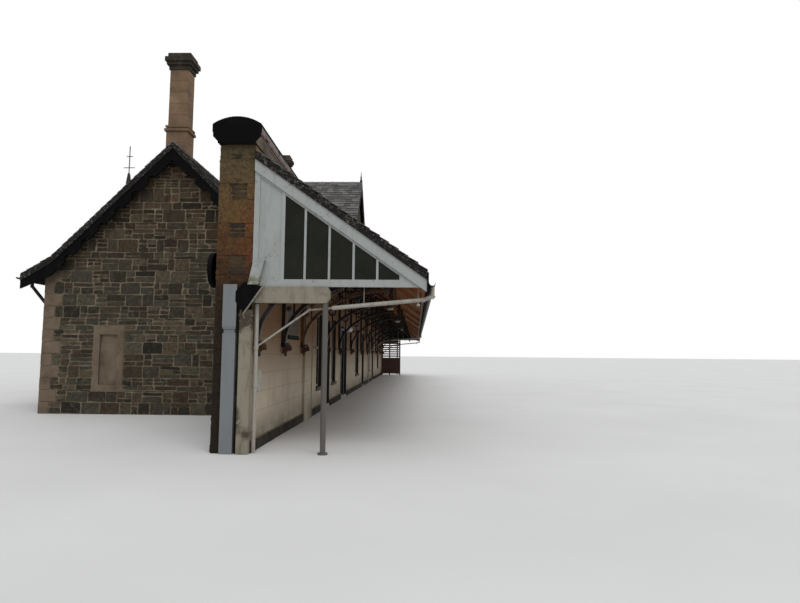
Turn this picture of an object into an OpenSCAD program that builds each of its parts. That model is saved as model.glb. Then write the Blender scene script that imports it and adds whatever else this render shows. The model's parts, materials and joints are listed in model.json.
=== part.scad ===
// Railway station building: a long platform wall that carries a lean-to canopy on cast-iron
// brackets, with a stone range, a taller cross wing and an eight-sided bay behind it.
// Millimetres. +X points from the building to the track side, +Y runs along the platform, +Z up.

/* [Platform wall] */
// Length of the wall beside the platform
wall_len = 37800; // [31500:100:39000]
// Thickness of the platform wall
wall_t = 600; // [500:10:720]
// Height of the platform wall under its coping
wall_h = 5070; // [4800:10:6000]
// Width of the coping on the platform wall
coping_w = 820; // [760:10:980]

/* [Canopy] */
// How far the canopy roof reaches out from the wall
canopy_out = 2860; // [2400:2:3440]
// Height of the canopy's slates at the eave
canopy_eave_h = 2950; // [2700:10:3200]
// Height of the foot of each cast-iron bracket
bracket_foot_h = 1790; // [1600:10:2000]
// Thickness of a bracket across its face
bracket_t = 60; // [40:5:80]
// Radius of the round prop under the end beam
prop_r = 45; // [35:1:60]

/* [Stone range] */
// Width of the range, from the platform face to its rear face
range_w = 7040; // [6000:2:8450]
// Height of the range's ridge
ridge_h = 7100; // [6700:10:8000]
// Thickness of the rubble walls
stone_t = 550; // [450:10:650]
// Pitch of the slate roofs in degrees
pitch = 45; // [40:1:50]
// Pitch of the flatter strip at the rear eave in degrees
eave_pitch = 31; // [26:1:38]

/* [Cross wing] */
// Width of the cross wing over its walls
wing_w = 6400; // [5333:1:7200]
// Height of the cross wing's ridge
wing_ridge_h = 9460; // [8800:10:10400]

/* [Bay] */
// Radius of the eight-sided bay to the corners of its walls
bay_r = 1900; // [1600:10:2100]
// Height of the point of the bay's roof
bay_top_h = 7500; // [6700:10:8600]

/* [Openings] */
// Height of the doorways
door_h = 2560; // [2300:10:2700]
// Height of the platform windows' sills
sill_h = 690; // [600:10:850]
// Height of the platform windows' heads
head_h = 2700; // [2400:10:2900]
// Thickness of the floor
floor_t = 80; // [60:5:100]

/* [Chimneys] */
// Width of the gable chimneys across the ridge
stack_w = 560; // [480:10:680]
// Height of the chimney caps' tops
stack_h = 9670; // [9300:10:11000]

/* [Hidden] */
$fn = 48;

gap = 0.3;
big = 60000;

// Places along the wall are given in metres on a wall of this reference length
reference_len = 37800;
function along(m) = m * 1000 * wall_len / reference_len;

gable_y = along(5.7);
north_gable_y = along(37.2);
wing_y = along(17.3);
wing_half = wing_w / 2;
wing_side_t = 500;
bay_y = along(10.3);
end_bracket = 230;
bracket_places = [2.26, 4.27, 7.77, 11.02, 14.7, 19.2, 22.7, 26.1, 29.6, 34.0];
bracket_ys = concat([end_bracket], [for (p = bracket_places) along(p)], [wall_len - end_bracket]);

// Each window is its centre along the wall in metres and its width
windows = [[7.0, 950], [9.92, 950], [17.7, 1400], [24.6, 1200], [32.5, 1500]];
rear_windows = [[7.15, 800], [15.7, 900], [18.9, 900], [23.2, 900], [26.6, 900],
  [30.0, 900], [33.4, 900]];
waiting_room = [8.55, 1000];
hall = [12.65, 1900];
office = [20.7, 1150];
store = [27.45, 1150];
doorways = [waiting_room, hall, office, store];

function low(opening) = along(opening[0]) - opening[1] / 2;
function high(opening) = along(opening[0]) + opening[1] / 2;

// Roof of the range: heights over x, flatter over the rear eave
roof_v = 170;
verge_out = 300;
ridge_x = -(range_w + 0.6 * wall_t) / 2;
break_x = -range_w + 290;
eave_x = -range_w - 500;
break_h = ridge_h - (ridge_x - break_x) * tan(pitch);
function rear_h(x) = x > break_x ? ridge_h - (ridge_x - x) * tan(pitch)
  : break_h - (break_x - x) * tan(eave_pitch);
function roof_h(x) = x > ridge_x ? ridge_h - (x - ridge_x) * tan(pitch) : rear_h(x);

// Roof of the wing: heights over y
wing_eave_out = 350;
wing_verge_out = 170;
wing_eave_h = wing_ridge_h - (wing_half + wing_eave_out) * tan(pitch);
function wing_roof_h(from_ridge) = wing_ridge_h - from_ridge * tan(pitch);

// Roof of the canopy
canopy_top_h = wall_h - 110;
canopy_slope = (canopy_top_h - canopy_eave_h) / canopy_out;
canopy_v = 140;
soffit_v = 30;
rafter_v = 110;
canopy_verge = 80;
function canopy_h(x, down) = canopy_top_h - down - canopy_slope * x;
rafter_down = canopy_v + soffit_v;
bracket_down = rafter_down + rafter_v;
bracket_out = canopy_out - 670;

// Gutter of the canopy
fascia_t = 30;
gutter_r = 55;
gutter_t = 7;
gutter_x = canopy_out + fascia_t + gutter_r + 2 * gap;
gutter_z = canopy_eave_h - 190;

// Bay
bay_x = -range_w - 220;
bay_t = 350;
bay_wall_h = 3760;
bay_eave_h = 3500;
bay_eave_r = bay_r + 250;
bay_flat = cos(22.5);
bay_roof_v = 200;

// Chimneys: centre x, centre y, width over x, depth over y and height of the foot
stack_d = 480;
middle_stack_w = 1300;
stack_foot_h = ridge_h - 800;
middle_foot_h = wing_roof_h(wing_half) - roof_v - 250;
middle_stack_x = ridge_x + 500;
stacks = [
  [ridge_x - 50, gable_y + stone_t / 2, stack_w, stack_foot_h],
  [middle_stack_x, wing_y - wing_half + wing_side_t / 2, middle_stack_w, middle_foot_h],
  [middle_stack_x, wing_y + wing_half - wing_side_t / 2, middle_stack_w, middle_foot_h],
  [ridge_x - 50, north_gable_y - stone_t / 2, stack_w, stack_foot_h]
];

// The whole stands centred on its own box, on the ground
end_out = 120;
east_x = gutter_x + gutter_r;
west_x = bay_x - bay_eave_r * bay_flat;
module placed() {
  translate([-(east_x + west_x) / 2, -wall_len / 2, 0])
    children();
}

// Stone, timber and metal colours
cream = [0.80, 0.78, 0.72];
rubble = [0.42, 0.39, 0.33];
ashlar = [0.62, 0.50, 0.36];
slate = [0.33, 0.34, 0.36];
black = [0.08, 0.08, 0.09];
white = [0.82, 0.83, 0.80];
grey_paint = [0.50, 0.54, 0.58];
varnish = [0.36, 0.22, 0.12];
pane = [0.12, 0.14, 0.13];

// A box from its lowest and its highest corner
module block(lo, hi) {
  translate(lo)
    cube(hi - lo);
}

// An outline in x and z carried along y
module across_y(y0, y1) {
  translate([0, y1, 0])
    rotate([90, 0, 0])
      linear_extrude(y1 - y0)
        children();
}

// An outline in y and z carried along x
module across_x(x0, x1) {
  translate([x0, 0, 0])
    rotate([90, 0, 90])
      linear_extrude(x1 - x0)
        children();
}

// The same thing at the south end and mirrored at the north end
module both_ends() {
  children();
  translate([0, wall_len, 0])
    mirror([0, 1, 0])
      children();
}

// Holes of all windows in the platform wall, and in what is fixed to its face
module platform_window_holes() {
  for (w = windows)
    block([-wall_t - 1, low(w), sill_h], [wall_t, high(w), head_h]);
}

module wall_stretch(y0, y1) {
  block([-wall_t, y0, 0], [0, y1, wall_h]);
}

module platform_wall() {
  starts = [0, high(waiting_room), high(hall), high(office), high(store)];
  ends = [low(waiting_room), low(hall), low(office), low(store), wall_len];
  color(cream)
    placed()
      difference() {
        for (i = [0 : len(starts) - 1])
          wall_stretch(starts[i], ends[i]);
        platform_window_holes();
      }
}

module door_heads() {
  color(cream)
    placed()
      for (d = doorways)
        block([-wall_t, low(d) + gap, door_h], [0, high(d) - gap, wall_h]);
}

// A strip on the platform face of the wall between all doorways
module wall_strip(x1, z0, z1, y_from) {
  starts = [y_from, high(waiting_room), high(hall), high(office), high(store)];
  ends = [low(waiting_room), low(hall), low(office), low(store), wall_len];
  for (i = [0 : len(starts) - 1])
    block([gap, starts[i], z0], [x1, ends[i], z1]);
}

plinth_out = 35;
plinth_h = 190;
module platform_plinth() {
  color(black)
    placed()
      difference() {
        wall_strip(plinth_out, 0, plinth_h, 0);
        pilaster_block(gap);
      }
}

pilaster_low = along(4.55);
pilaster_high = along(5.6);
pilaster_out = 60;
module pilaster_block(grow) {
  block([gap / 2, pilaster_low - grow, -1], [pilaster_out + 1, pilaster_high + grow, wall_h]);
}

module wall_pilaster() {
  color(cream)
    placed()
      across_y(pilaster_low, pilaster_high)
        polygon([[gap, 0], [pilaster_out, 0],
          [pilaster_out, canopy_h(pilaster_out, rafter_down + gap)],
          [gap, canopy_h(gap, rafter_down + gap)]]);
}

string_h = 1740;
string_d = 60;
string_out = 25;
module wall_string() {
  color(ashlar)
    placed()
      difference() {
        wall_strip(string_out, string_h, string_h + string_d, pilaster_high + gap);
        platform_window_holes();
        for (y = bracket_ys)
          block([0, y - bracket_boss_r - gap, 0], [1000, y + bracket_boss_r + gap, wall_h]);
      }
}

// Coping: a tapered moulding with upright sides and a black crown in a flat arch
taper_h = 110;
moulding_h = 320;
crown_rise = 130;
crown_r = (coping_w * coping_w / 4 + crown_rise * crown_rise) / (2 * crown_rise);
module coping_lengths() {
  spans = [[-end_out, wing_y - wing_half - gap], [wing_y + wing_half + gap, wall_len + end_out]];
  for (s = spans)
    across_y(s[0], s[1])
      translate([-wall_t / 2, wall_h + gap])
        children();
}

module coping_moulding() {
  half = coping_w / 2;
  foot = wall_t / 2 + 15;
  color(ashlar)
    placed()
      coping_lengths()
        polygon([[-foot, 0], [foot, 0], [foot, 25], [half - 40, taper_h - 15],
          [half - 12, taper_h], [half - 12, taper_h + 60], [half, taper_h + 80],
          [half, moulding_h], [-half, moulding_h], [-half, taper_h + 80],
          [12 - half, taper_h + 60], [12 - half, taper_h], [40 - half, taper_h - 15], [-foot, 25]]);
}

module wall_coping() {
  color(black)
    placed()
      coping_lengths()
        intersection() {
          translate([0, moulding_h + gap + crown_rise - crown_r])
            circle(crown_r, $fn = 180);
          translate([-coping_w / 2, moulding_h + gap])
            square([coping_w, crown_rise]);
        }
}

// Floor, with a tongue into each doorway
module floor_slab() {
  inner = wall_t + gap;
  color("gray")
    placed() {
      block([-range_w + stone_t + gap, gable_y + stone_t + gap, 0],
        [-inner, north_gable_y - stone_t - gap, floor_t]);
      for (d = doorways)
        block([-inner, low(d) + gap, 0], [0, high(d) - gap, floor_t]);
      block([-range_w - gap, bay_y - bay_arch / 2 + gap, 0],
        [-range_w + stone_t + gap, bay_y + bay_arch / 2 - gap, floor_t]);
      difference() {
        bay_prism((bay_r * bay_flat - bay_t - gap) / bay_flat, 0, floor_t);
        block([-range_w - gap, bay_y - 2 * bay_r, -1], [0, bay_y + 2 * bay_r, big]);
      }
    }
}

// Room that each chimney takes out of the wall and the roof under it
module stack_room(grow) {
  for (s = stacks)
    block([s[0] - s[2] / 2 - grow, s[1] - stack_d / 2 - grow, s[3]],
      [s[0] + s[2] / 2 + grow, s[1] + stack_d / 2 + grow, stack_h]);
}

// Upper line of the range's wall tops or roof, lowered by a given height
module range_outline(down, x0, x1) {
  polygon([[x0, 0], [x0, roof_h(x0) - down], [break_x, roof_h(break_x) - down],
    [ridge_x, ridge_h - down], [x1, roof_h(x1) - down], [x1, 0]]);
}

blocked_x = -5280;
blocked_w = 460;
blocked_sill_h = 750;
blocked_head_h = 2050;
blocked_deep = 70;
module blocked_block(y0, y1, grow) {
  block([blocked_x - blocked_w / 2 - grow, y0, blocked_sill_h - grow],
    [blocked_x + blocked_w / 2 + grow, y1, blocked_head_h + grow]);
}

module gable_walls() {
  color(rubble)
    placed()
      difference() {
        for (y = [gable_y, north_gable_y - stone_t])
          across_y(y, y + stone_t)
            range_outline(roof_v + gap, -range_w, -wall_t - gap);
        stack_room(0);
        blocked_block(gable_y - 1, gable_y + blocked_deep, 0);
        blocked_block(north_gable_y - blocked_deep, north_gable_y + 1, 0);
      }
}

module blocked_windows() {
  color(ashlar)
    placed() {
      blocked_block(gable_y + blocked_deep / 2, gable_y + blocked_deep - gap, -gap);
      blocked_block(north_gable_y - blocked_deep + gap, north_gable_y - blocked_deep / 2, -gap);
    }
}

rear_sill_h = 850;
rear_head_h = 2450;
module rear_window_holes() {
  for (w = rear_windows)
    block([-range_w - 1, low(w), rear_sill_h], [-range_w + stone_t + 1, high(w), rear_head_h]);
}

bay_arch = 2500;
module rear_wall_outline() {
  polygon([[-range_w, 0], [-range_w + stone_t, 0],
    [-range_w + stone_t, roof_h(-range_w + stone_t) - roof_v - gap],
    [break_x, break_h - roof_v - gap], [-range_w, roof_h(-range_w) - roof_v - gap]]);
}

module rear_walls() {
  color(rubble)
    placed()
      difference() {
        union() {
          across_y(gable_y + stone_t + gap, wing_y - wing_half - gap)
            rear_wall_outline();
          across_y(wing_y + wing_half + gap, north_gable_y - stone_t - gap)
            rear_wall_outline();
        }
        rear_window_holes();
        block([-range_w - 1, bay_y - bay_arch / 2, -1],
          [-range_w + stone_t + 1, bay_y + bay_arch / 2, 3000]);
      }
}

// Upper line of the wing's gables from a given foot
module wing_outline(down, foot_h) {
  polygon([[wing_y - wing_half, foot_h], [wing_y - wing_half, wing_roof_h(wing_half) - down],
    [wing_y, wing_ridge_h - down], [wing_y + wing_half, wing_roof_h(wing_half) - down],
    [wing_y + wing_half, foot_h]]);
}

module wing_gable_walls() {
  color(rubble)
    placed()
      difference() {
        union() {
          across_x(-wall_t, 0)
            wing_outline(roof_v + gap, wall_h + gap);
          across_x(-range_w, -range_w + stone_t)
            wing_outline(roof_v + gap, 0);
        }
        rear_window_holes();
      }
}

wing_beam_h = 3200;
module wing_side_walls() {
  color(rubble)
    placed()
      difference() {
        across_x(-range_w + stone_t + gap, -wall_t - gap)
          for (side = [-1, 1])
            polygon([[wing_y + side * wing_half, wing_beam_h],
              [wing_y + side * wing_half, wing_roof_h(wing_half) - roof_v - gap],
              [wing_y + side * (wing_half - wing_side_t),
                wing_roof_h(wing_half - wing_side_t) - roof_v - gap],
              [wing_y + side * (wing_half - wing_side_t), wing_beam_h]]);
        stack_room(0);
      }
}

// Everything at or under the wing's roof, which the ranges' roofs stop at
module wing_body(grow) {
  low_v = roof_v + 2 * grow;
  across_x(-range_w - 2000, 1000)
    polygon([
      [wing_y - wing_half - grow, 0], [wing_y - wing_half - grow, wing_roof_h(wing_half) - low_v],
      [wing_y - wing_half - wing_eave_out - grow, wing_eave_h - low_v],
      [wing_y - wing_half - wing_eave_out - grow, wing_eave_h + grow], [wing_y, wing_ridge_h + grow],
      [wing_y + wing_half + wing_eave_out + grow, wing_eave_h + grow],
      [wing_y + wing_half + wing_eave_out + grow, wing_eave_h - low_v],
      [wing_y + wing_half + grow, wing_roof_h(wing_half) - low_v], [wing_y + wing_half + grow, 0]]);
}

module range_roof_outline() {
  east = -wall_t - gap;
  polygon([[eave_x, roof_h(eave_x)], [break_x, break_h], [ridge_x, ridge_h], [east, roof_h(east)],
    [east, roof_h(east) - roof_v], [ridge_x, ridge_h - roof_v], [break_x, break_h - roof_v],
    [eave_x, roof_h(eave_x) - roof_v]]);
}

module range_roof(y0, y1) {
  half = bay_eave_r * bay_flat + gap;
  difference() {
    across_y(y0, y1)
      range_roof_outline();
    wing_body(gap);
    stack_room(gap);
    block([-range_w - 2000, bay_y - half, 0], [-range_w, bay_y + half, big]);
  }
}

module south_range_roof() {
  color(slate)
    placed()
      range_roof(gable_y - verge_out, wing_y);
}

module north_range_roof() {
  color(slate)
    placed()
      range_roof(wing_y, north_gable_y + verge_out);
}

module wing_roof() {
  out = wing_half + wing_eave_out;
  color(slate)
    placed()
      difference() {
        across_x(-range_w - wing_verge_out, wing_verge_out)
          polygon([[wing_y - out, wing_eave_h], [wing_y, wing_ridge_h], [wing_y + out, wing_eave_h],
            [wing_y + out, wing_eave_h - roof_v], [wing_y, wing_ridge_h - roof_v],
            [wing_y - out, wing_eave_h - roof_v]]);
        stack_room(gap);
      }
}

// A saddle of stone along a ridge: half of its width, and its thickness
cap_half = 130;
cap_t = 35;
module ridge_outline() {
  fall = cap_half * tan(pitch);
  polygon([[0, cap_t], [cap_half, cap_t - fall], [cap_half, gap - fall], [0, gap],
    [-cap_half, gap - fall], [-cap_half, cap_t - fall]]);
}

module ridge_caps() {
  meet = (wing_ridge_h - ridge_h) / tan(pitch);
  color(slate)
    placed() {
      difference() {
        across_y(gable_y - verge_out, wing_y - meet)
          translate([ridge_x, ridge_h])
            ridge_outline();
        wing_body(2);
        stack_room(gap);
      }
      difference() {
        across_y(wing_y + meet, north_gable_y + verge_out)
          translate([ridge_x, ridge_h])
            ridge_outline();
        wing_body(2);
        stack_room(gap);
      }
      across_x(-range_w - wing_verge_out, wing_verge_out)
        translate([wing_y, wing_ridge_h])
          ridge_outline();
    }
}

// One sloping board of a gable, from the ridge outwards, with cusps cut in its lower edge
board_t = 40;
board_deep = 330;
cusp_r = 130;
cusp_pitch = 420;
first_cusp = 500;
cusp_below = 30;
foot_depth = 0.6;
module sloping_board(run, slope, deep) {
  count = floor((run - first_cusp) / cusp_pitch);
  difference() {
    polygon([[0, -gap], [run, -run * slope - gap], [run, -run * slope - deep], [0, -deep]]);
    for (i = [0 : count - 1]) {
      at = first_cusp + i * cusp_pitch;
      translate([at, -at * slope - deep - cusp_below])
        circle(cusp_r, $fn = 24);
    }
  }
}

module range_board() {
  east_run = -wall_t - gap - ridge_x;
  west_run = ridge_x - break_x;
  tail = break_x - eave_x;
  drop = tan(eave_pitch) * tail;
  translate([ridge_x, ridge_h - roof_v]) {
    sloping_board(east_run, tan(pitch), board_deep);
    mirror([1, 0])
      sloping_board(west_run, tan(pitch), board_deep);
    translate([-west_run, -west_run * tan(pitch)])
      polygon([[0, -gap], [0, -board_deep], [-tail, -drop - board_deep * foot_depth], [-tail, -drop - gap]]);
  }
}

module wing_board() {
  run = wing_half + wing_eave_out;
  translate([wing_y, wing_ridge_h - roof_v]) {
    sloping_board(run, tan(pitch), board_deep);
    mirror([1, 0])
      sloping_board(run, tan(pitch), board_deep);
  }
}

module gable_bargeboards() {
  board_in = 20;
  color(black)
    placed() {
      across_y(gable_y - verge_out + board_in, gable_y - verge_out + board_in + board_t)
        range_board();
      across_y(north_gable_y + verge_out - board_in - board_t, north_gable_y + verge_out - board_in)
        range_board();
      across_x(wing_verge_out - board_in - board_t, wing_verge_out - board_in)
        wing_board();
      across_x(-range_w - wing_verge_out + board_in, -range_w - wing_verge_out + board_in + board_t)
        wing_board();
    }
}

// Turned finial: radius and height pairs above a foot
module turned_finial(tall) {
  rotate_extrude($fn = 24)
    polygon([[0, 0], [70, 0], [70, tall * 0.12], [45, tall * 0.2], [60, tall * 0.3],
      [28, tall * 0.45], [40, tall * 0.55], [18, tall * 0.7], [12, tall], [0, tall]]);
}

finial_h = 450;
finial_in = 60;
saddle = 200;
bay_finial_h = 1200;
finial_sink = 120;
bay_cone_h = 360;
bay_cone_r = 90;
bay_cone_tip_r = 40;
bay_rod_r = 16;
bay_arm_r = 12.8;
// Height above the cone's foot and half length of each arm of the bay's finial
bay_arms = [[560, 190], [960, 100]];
module roof_finials() {
  color(black)
    placed() {
      for (x = [wing_verge_out - finial_in, finial_in - range_w - wing_verge_out])
        translate([x, wing_y, wing_ridge_h - finial_sink + cap_t])
          difference() {
            turned_finial(finial_h + finial_sink);
            across_x(-saddle, saddle)
              polygon([[-saddle, -big], [-saddle, finial_sink + gap - saddle * tan(pitch)],
                [0, finial_sink + gap], [saddle, finial_sink + gap - saddle * tan(pitch)],
                [saddle, -big]]);
          }
      translate([bay_x, bay_y, bay_top_h - finial_sink]) {
        difference() {
          cylinder(h = bay_cone_h, r1 = bay_cone_r, r2 = bay_cone_tip_r, $fn = 24);
          bay_pyramid(-bay_top_h + finial_sink, gap);
        }
        translate([0, 0, bay_cone_h - 10])
          cylinder(h = bay_finial_h + finial_sink - bay_cone_h + 10, r = bay_rod_r);
        for (arm = bay_arms)
          translate([0, 0, arm[0]])
            rotate([0, 90, 0])
              cylinder(h = 2 * arm[1], r = bay_arm_r, center = true);
      }
    }
}

// Eight-sided pyramid of the bay's roof, with its foot shifted by a given height
module bay_pyramid(shift, grow) {
  translate([0, 0, bay_eave_h + shift])
    rotate(22.5)
      cylinder(h = bay_top_h - bay_eave_h + grow, r1 = bay_eave_r + grow, r2 = 0, $fn = 8);
}

module bay_prism(radius, z0, z1) {
  translate([bay_x, bay_y, z0])
    rotate(22.5)
      cylinder(h = z1 - z0, r = radius, $fn = 8);
}

bay_sill_h = 900;
bay_head_h = 2600;
bay_window_w = 760;
bay_faces = [135, 180, 225];
module bay_window_boxes(x0, x1, side, z0, z1) {
  for (a = bay_faces)
    translate([bay_x, bay_y, 0])
      rotate(a)
        block([x0, -side, z0], [x1, side, z1]);
}

module bay_walls() {
  inner = bay_r * bay_flat - bay_t;
  color(rubble)
    placed()
      difference() {
        bay_prism(bay_r, 0, bay_wall_h);
        bay_prism(inner / bay_flat, -1, bay_wall_h + 1);
        block([-range_w - gap, bay_y - 2 * bay_r, -1], [0, bay_y + 2 * bay_r, big]);
        bay_window_boxes(inner - 200, bay_r + 200, bay_window_w / 2, bay_sill_h, bay_head_h);
      }
}

module bay_roof() {
  color(slate)
    placed()
      difference() {
        translate([bay_x, bay_y, 0])
          bay_pyramid(0, 0);
        translate([bay_x, bay_y, -1])
          bay_pyramid(-bay_roof_v, 0);
        across_y(bay_y - 3000, bay_y + 3000)
          range_outline(-gap, -range_w, -wall_t);
      }
}

// Each step of a chimney's string and cap is how far it stands out, its foot and its top
cap_rise = 450;
plinth_rise = 540;
string_rise = 400;
shaft_in = 30;
string_steps = [[45, 0, 70], [25, 110, 160]];
cap_steps = [[0, 0, 120], [50, 120, 210], [90, 210, 330], [30, 330, cap_rise]];
module stack_steps(half, deep, steps) {
  for (step = steps)
    block([-half - step[0], -deep - step[0], step[1]], [half + step[0], deep + step[0], step[2]]);
}

module chimney_stacks() {
  string_at = ridge_h + string_rise;
  shaft_top = stack_h - cap_rise - gap;
  color(ashlar)
    placed()
      for (s = stacks) {
        half = s[2] / 2;
        deep = stack_d / 2;
        translate([s[0], s[1], 0]) {
          block([-half, -deep, s[3] + gap], [half, deep, ridge_h + plinth_rise]);
          translate([0, 0, string_at])
            stack_steps(half, deep, string_steps);
          block([shaft_in - half, shaft_in - deep, string_at],
            [half - shaft_in, deep - shaft_in, shaft_top]);
        }
      }
}

module chimney_caps() {
  color(ashlar)
    placed()
      for (s = stacks)
        translate([s[0], s[1], stack_h - cap_rise])
          stack_steps(s[2] / 2, stack_d / 2, cap_steps);
}

// Half-round gutter along y or x with its centre line at the origin
module gutter_outline() {
  difference() {
    circle(gutter_r);
    circle(gutter_r - gutter_t);
    translate([-gutter_r - 1, 0])
      square([2 * gutter_r + 2, gutter_r + 1]);
  }
}

// A pipe along a list of points, with a knuckle at each bend
pipe_knuckle = 8;
module aimed(step) {
  rotate([0, acos(step[2] / norm(step)), atan2(step[1], step[0])])
    children();
}

module pipe_route(points, r) {
  for (i = [0 : len(points) - 2])
    translate(points[i])
      aimed(points[i + 1] - points[i])
        cylinder(h = norm(points[i + 1] - points[i]), r = r);
  for (i = [1 : len(points) - 2])
    translate(points[i])
      aimed(points[i] - points[i - 1])
        sphere(r + pipe_knuckle);
}

gutter_drop = 70;
rear_pipe_r = 42;
pipe_from_gable = 300;
pipe_from_wing = 150;
swan_top = 120;
swan_foot = 700;
module rear_gutters() {
  drop = gutter_drop;
  pipe_r = rear_pipe_r;
  rear_x = eave_x - gutter_r - gap;
  wing_out = wing_half + wing_eave_out + gutter_r + gap;
  half = bay_eave_r * bay_flat + 20;
  range_z = roof_h(eave_x) - drop;
  pipe_x = -range_w - pipe_r - pipe_knuckle - gap;
  under_ridge = (ridge_h - (wing_eave_h - drop - gutter_r)) / tan(pitch) + 30;
  color(black)
    placed() {
      for (span = [[gable_y - verge_out, bay_y - half], [bay_y + half, wing_y - wing_half - gap],
        [wing_y + wing_half + gap, north_gable_y + verge_out]])
        across_y(span[0], span[1])
          translate([rear_x, range_z])
            gutter_outline();
      for (side = [-1, 1])
        for (span = [[-range_w - wing_verge_out, ridge_x - under_ridge],
          [ridge_x + under_ridge, wing_verge_out]])
          across_x(span[0], span[1])
            translate([wing_y + side * wing_out, wing_eave_h - drop])
              gutter_outline();
      for (y = [gable_y + pipe_from_gable, wing_y - wing_half - pipe_from_wing,
        wing_y + wing_half + pipe_from_wing, north_gable_y - pipe_from_gable])
        translate([0, y, 0])
          pipe_route([[rear_x, 0, range_z - gutter_r - gap], [rear_x, 0, range_z - gutter_r - swan_top],
            [pipe_x, 0, range_z - gutter_r - swan_foot], [pipe_x, 0, 0]], pipe_r);
    }
}

// Canopy
module canopy_band(down_top, down_bottom, x0, x1) {
  polygon([[x0, canopy_h(x0, down_top)], [x1, canopy_h(x1, down_top)],
    [x1, canopy_h(x1, down_bottom)], [x0, canopy_h(x0, down_bottom)]]);
}

module canopy_roof() {
  color(slate)
    placed()
      across_y(-canopy_verge, wall_len + canopy_verge)
        canopy_band(0, canopy_v, gap, canopy_out);
}

screen_out = 20;
module canopy_soffit() {
  color(varnish)
    placed()
      across_y(-screen_out, wall_len + screen_out)
        canopy_band(canopy_v + gap, rafter_down, gap, canopy_out - gap);
}

rafter_w = 80;
rafter_short = 60;
module canopy_rafters() {
  color(varnish)
    placed()
      for (y = bracket_ys)
        across_y(y - rafter_w / 2, y + rafter_w / 2)
          canopy_band(rafter_down + gap, bracket_down, gap, canopy_out - rafter_short);
}

// Cast-iron bracket: a curved rib springs from the wall to the rafter, and rings fill the spandrel
rib = 70;
rib_spring = 40;
rib_in = 20;
ring_bar = 38;
bracket_boss_r = 85;
bracket_boss_h = 80;
bracket_rise = canopy_h(bracket_out, bracket_down) - bracket_foot_h - rib_spring;
function rib_point(a, grow) = [bracket_out - (bracket_out - rib_in + grow) * cos(a),
  bracket_foot_h + rib_spring + (bracket_rise + grow) * sin(a)];
module bracket_ring(x, z, r) {
  translate([x, z])
    difference() {
      circle(r);
      circle(r - ring_bar);
    }
}

rib_steps = 14;
bar = 36;
module bracket_scrolls() {
  x = 0.28 * bracket_out;
  z = bracket_foot_h + 0.54 * (canopy_top_h - bracket_foot_h);
  low_x = 0.11 * bracket_out;
  low_z = bracket_foot_h + 0.32 * (canopy_top_h - bracket_foot_h);
  bracket_ring(x, z, 0.24 * bracket_out);
  bracket_ring(x, z, 0.13 * bracket_out);
  bracket_ring(0.62 * bracket_out, z, 0.11 * bracket_out);
  bracket_ring(low_x, low_z, 0.05 * bracket_out);
  translate([x - bar / 2, 0])
    square([bar, canopy_top_h]);
  translate([low_x - bar / 2, 0])
    square([bar, low_z]);
  translate([0, z - bar / 2])
    square([bracket_out, bar]);
}

module bracket_outline() {
  rib_line = [for (i = [0 : rib_steps]) rib_point(90 * i / rib_steps, 0)];
  rib_middle = [for (i = [0 : rib_steps]) rib_point(90 * i / rib_steps, -rib / 2)];
  intersection() {
    bracket_scrolls();
    polygon(concat([[gap, bracket_foot_h]], rib_middle,
      [[bracket_out, canopy_h(bracket_out, bracket_down + gap)],
        [gap, canopy_h(gap, bracket_down + gap)]]));
  }
  intersection() {
    union() {
      translate([gap, bracket_foot_h])
        square([rib, canopy_top_h]);
      polygon(concat(rib_line, [for (i = [rib_steps : -1 : 0]) rib_point(90 * i / rib_steps, -rib)]));
      canopy_band(bracket_down, bracket_down + rib, gap, bracket_out + 40);
      translate([bracket_out - rib / 2, canopy_h(bracket_out, bracket_down) - 560])
        square([rib, 560]);
    }
    polygon([[gap, bracket_foot_h], [gap, canopy_h(gap, bracket_down + gap)],
      [canopy_out, canopy_h(canopy_out, bracket_down + gap)], [canopy_out, 0],
      [bracket_out, bracket_foot_h]]);
  }
}

module canopy_brackets() {
  color(black)
    placed()
      for (y = bracket_ys) {
        across_y(y - bracket_t / 2, y + bracket_t / 2)
          bracket_outline();
        translate([bracket_boss_r + gap, y, bracket_foot_h - 60])
          cylinder(h = 80, r = bracket_boss_r);
        translate([bracket_boss_r + gap, y, bracket_foot_h - 240])
          cylinder(h = 190, r = 28);
      }
}

fascia_h = 340;
fascia_drop = 20;
fascia_low = canopy_eave_h - fascia_drop - fascia_h;
module canopy_fascia() {
  color(black)
    placed()
      block([canopy_out + gap, -canopy_verge, fascia_low],
        [canopy_out + gap + fascia_t, wall_len + canopy_verge, fascia_low + fascia_h]);
}

module canopy_gutter() {
  color(black)
    placed()
      across_y(-canopy_verge, wall_len + canopy_verge)
        translate([gutter_x, gutter_z])
          gutter_outline();
}

barge_t = 35;
barge_deep = 200;
module canopy_bargeboards() {
  color(white)
    placed()
      both_ends()
        across_y(-screen_out - gap - barge_t, -screen_out - gap)
          canopy_band(canopy_v + gap, canopy_v + barge_deep, gap, canopy_out);
}

// Glazed screen in the canopy's ends
rail_low = 2690;
rail_high = 2810;
strip_deep = 45;
strip_down = canopy_v + barge_deep + strip_deep;
mullion = 36;
screen_t = 50;
pane_edges = [500, 860, 1260, 1660, 2050, 2430];
pane_scale = canopy_out / 2860;
board_low = 90;
board_high = 460;
module pane_outline(i, shrink) {
  x0 = pane_edges[i] * pane_scale + mullion / 2 + shrink;
  x1 = pane_edges[i + 1] * pane_scale - mullion / 2 - shrink;
  polygon([[x0, rail_high + shrink], [x1, rail_high + shrink], [x1, canopy_h(x1, strip_down + shrink)],
    [x0, canopy_h(x0, strip_down + shrink)]]);
}

module board_outline(shrink) {
  x0 = board_low + shrink;
  x1 = board_high + shrink;
  polygon([[board_low + shrink, rail_high + shrink], [board_high - shrink, rail_high + shrink],
    [board_high - shrink, canopy_h(x1, strip_down + shrink)],
    [board_low + shrink, canopy_h(x0, strip_down + shrink)]]);
}

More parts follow.
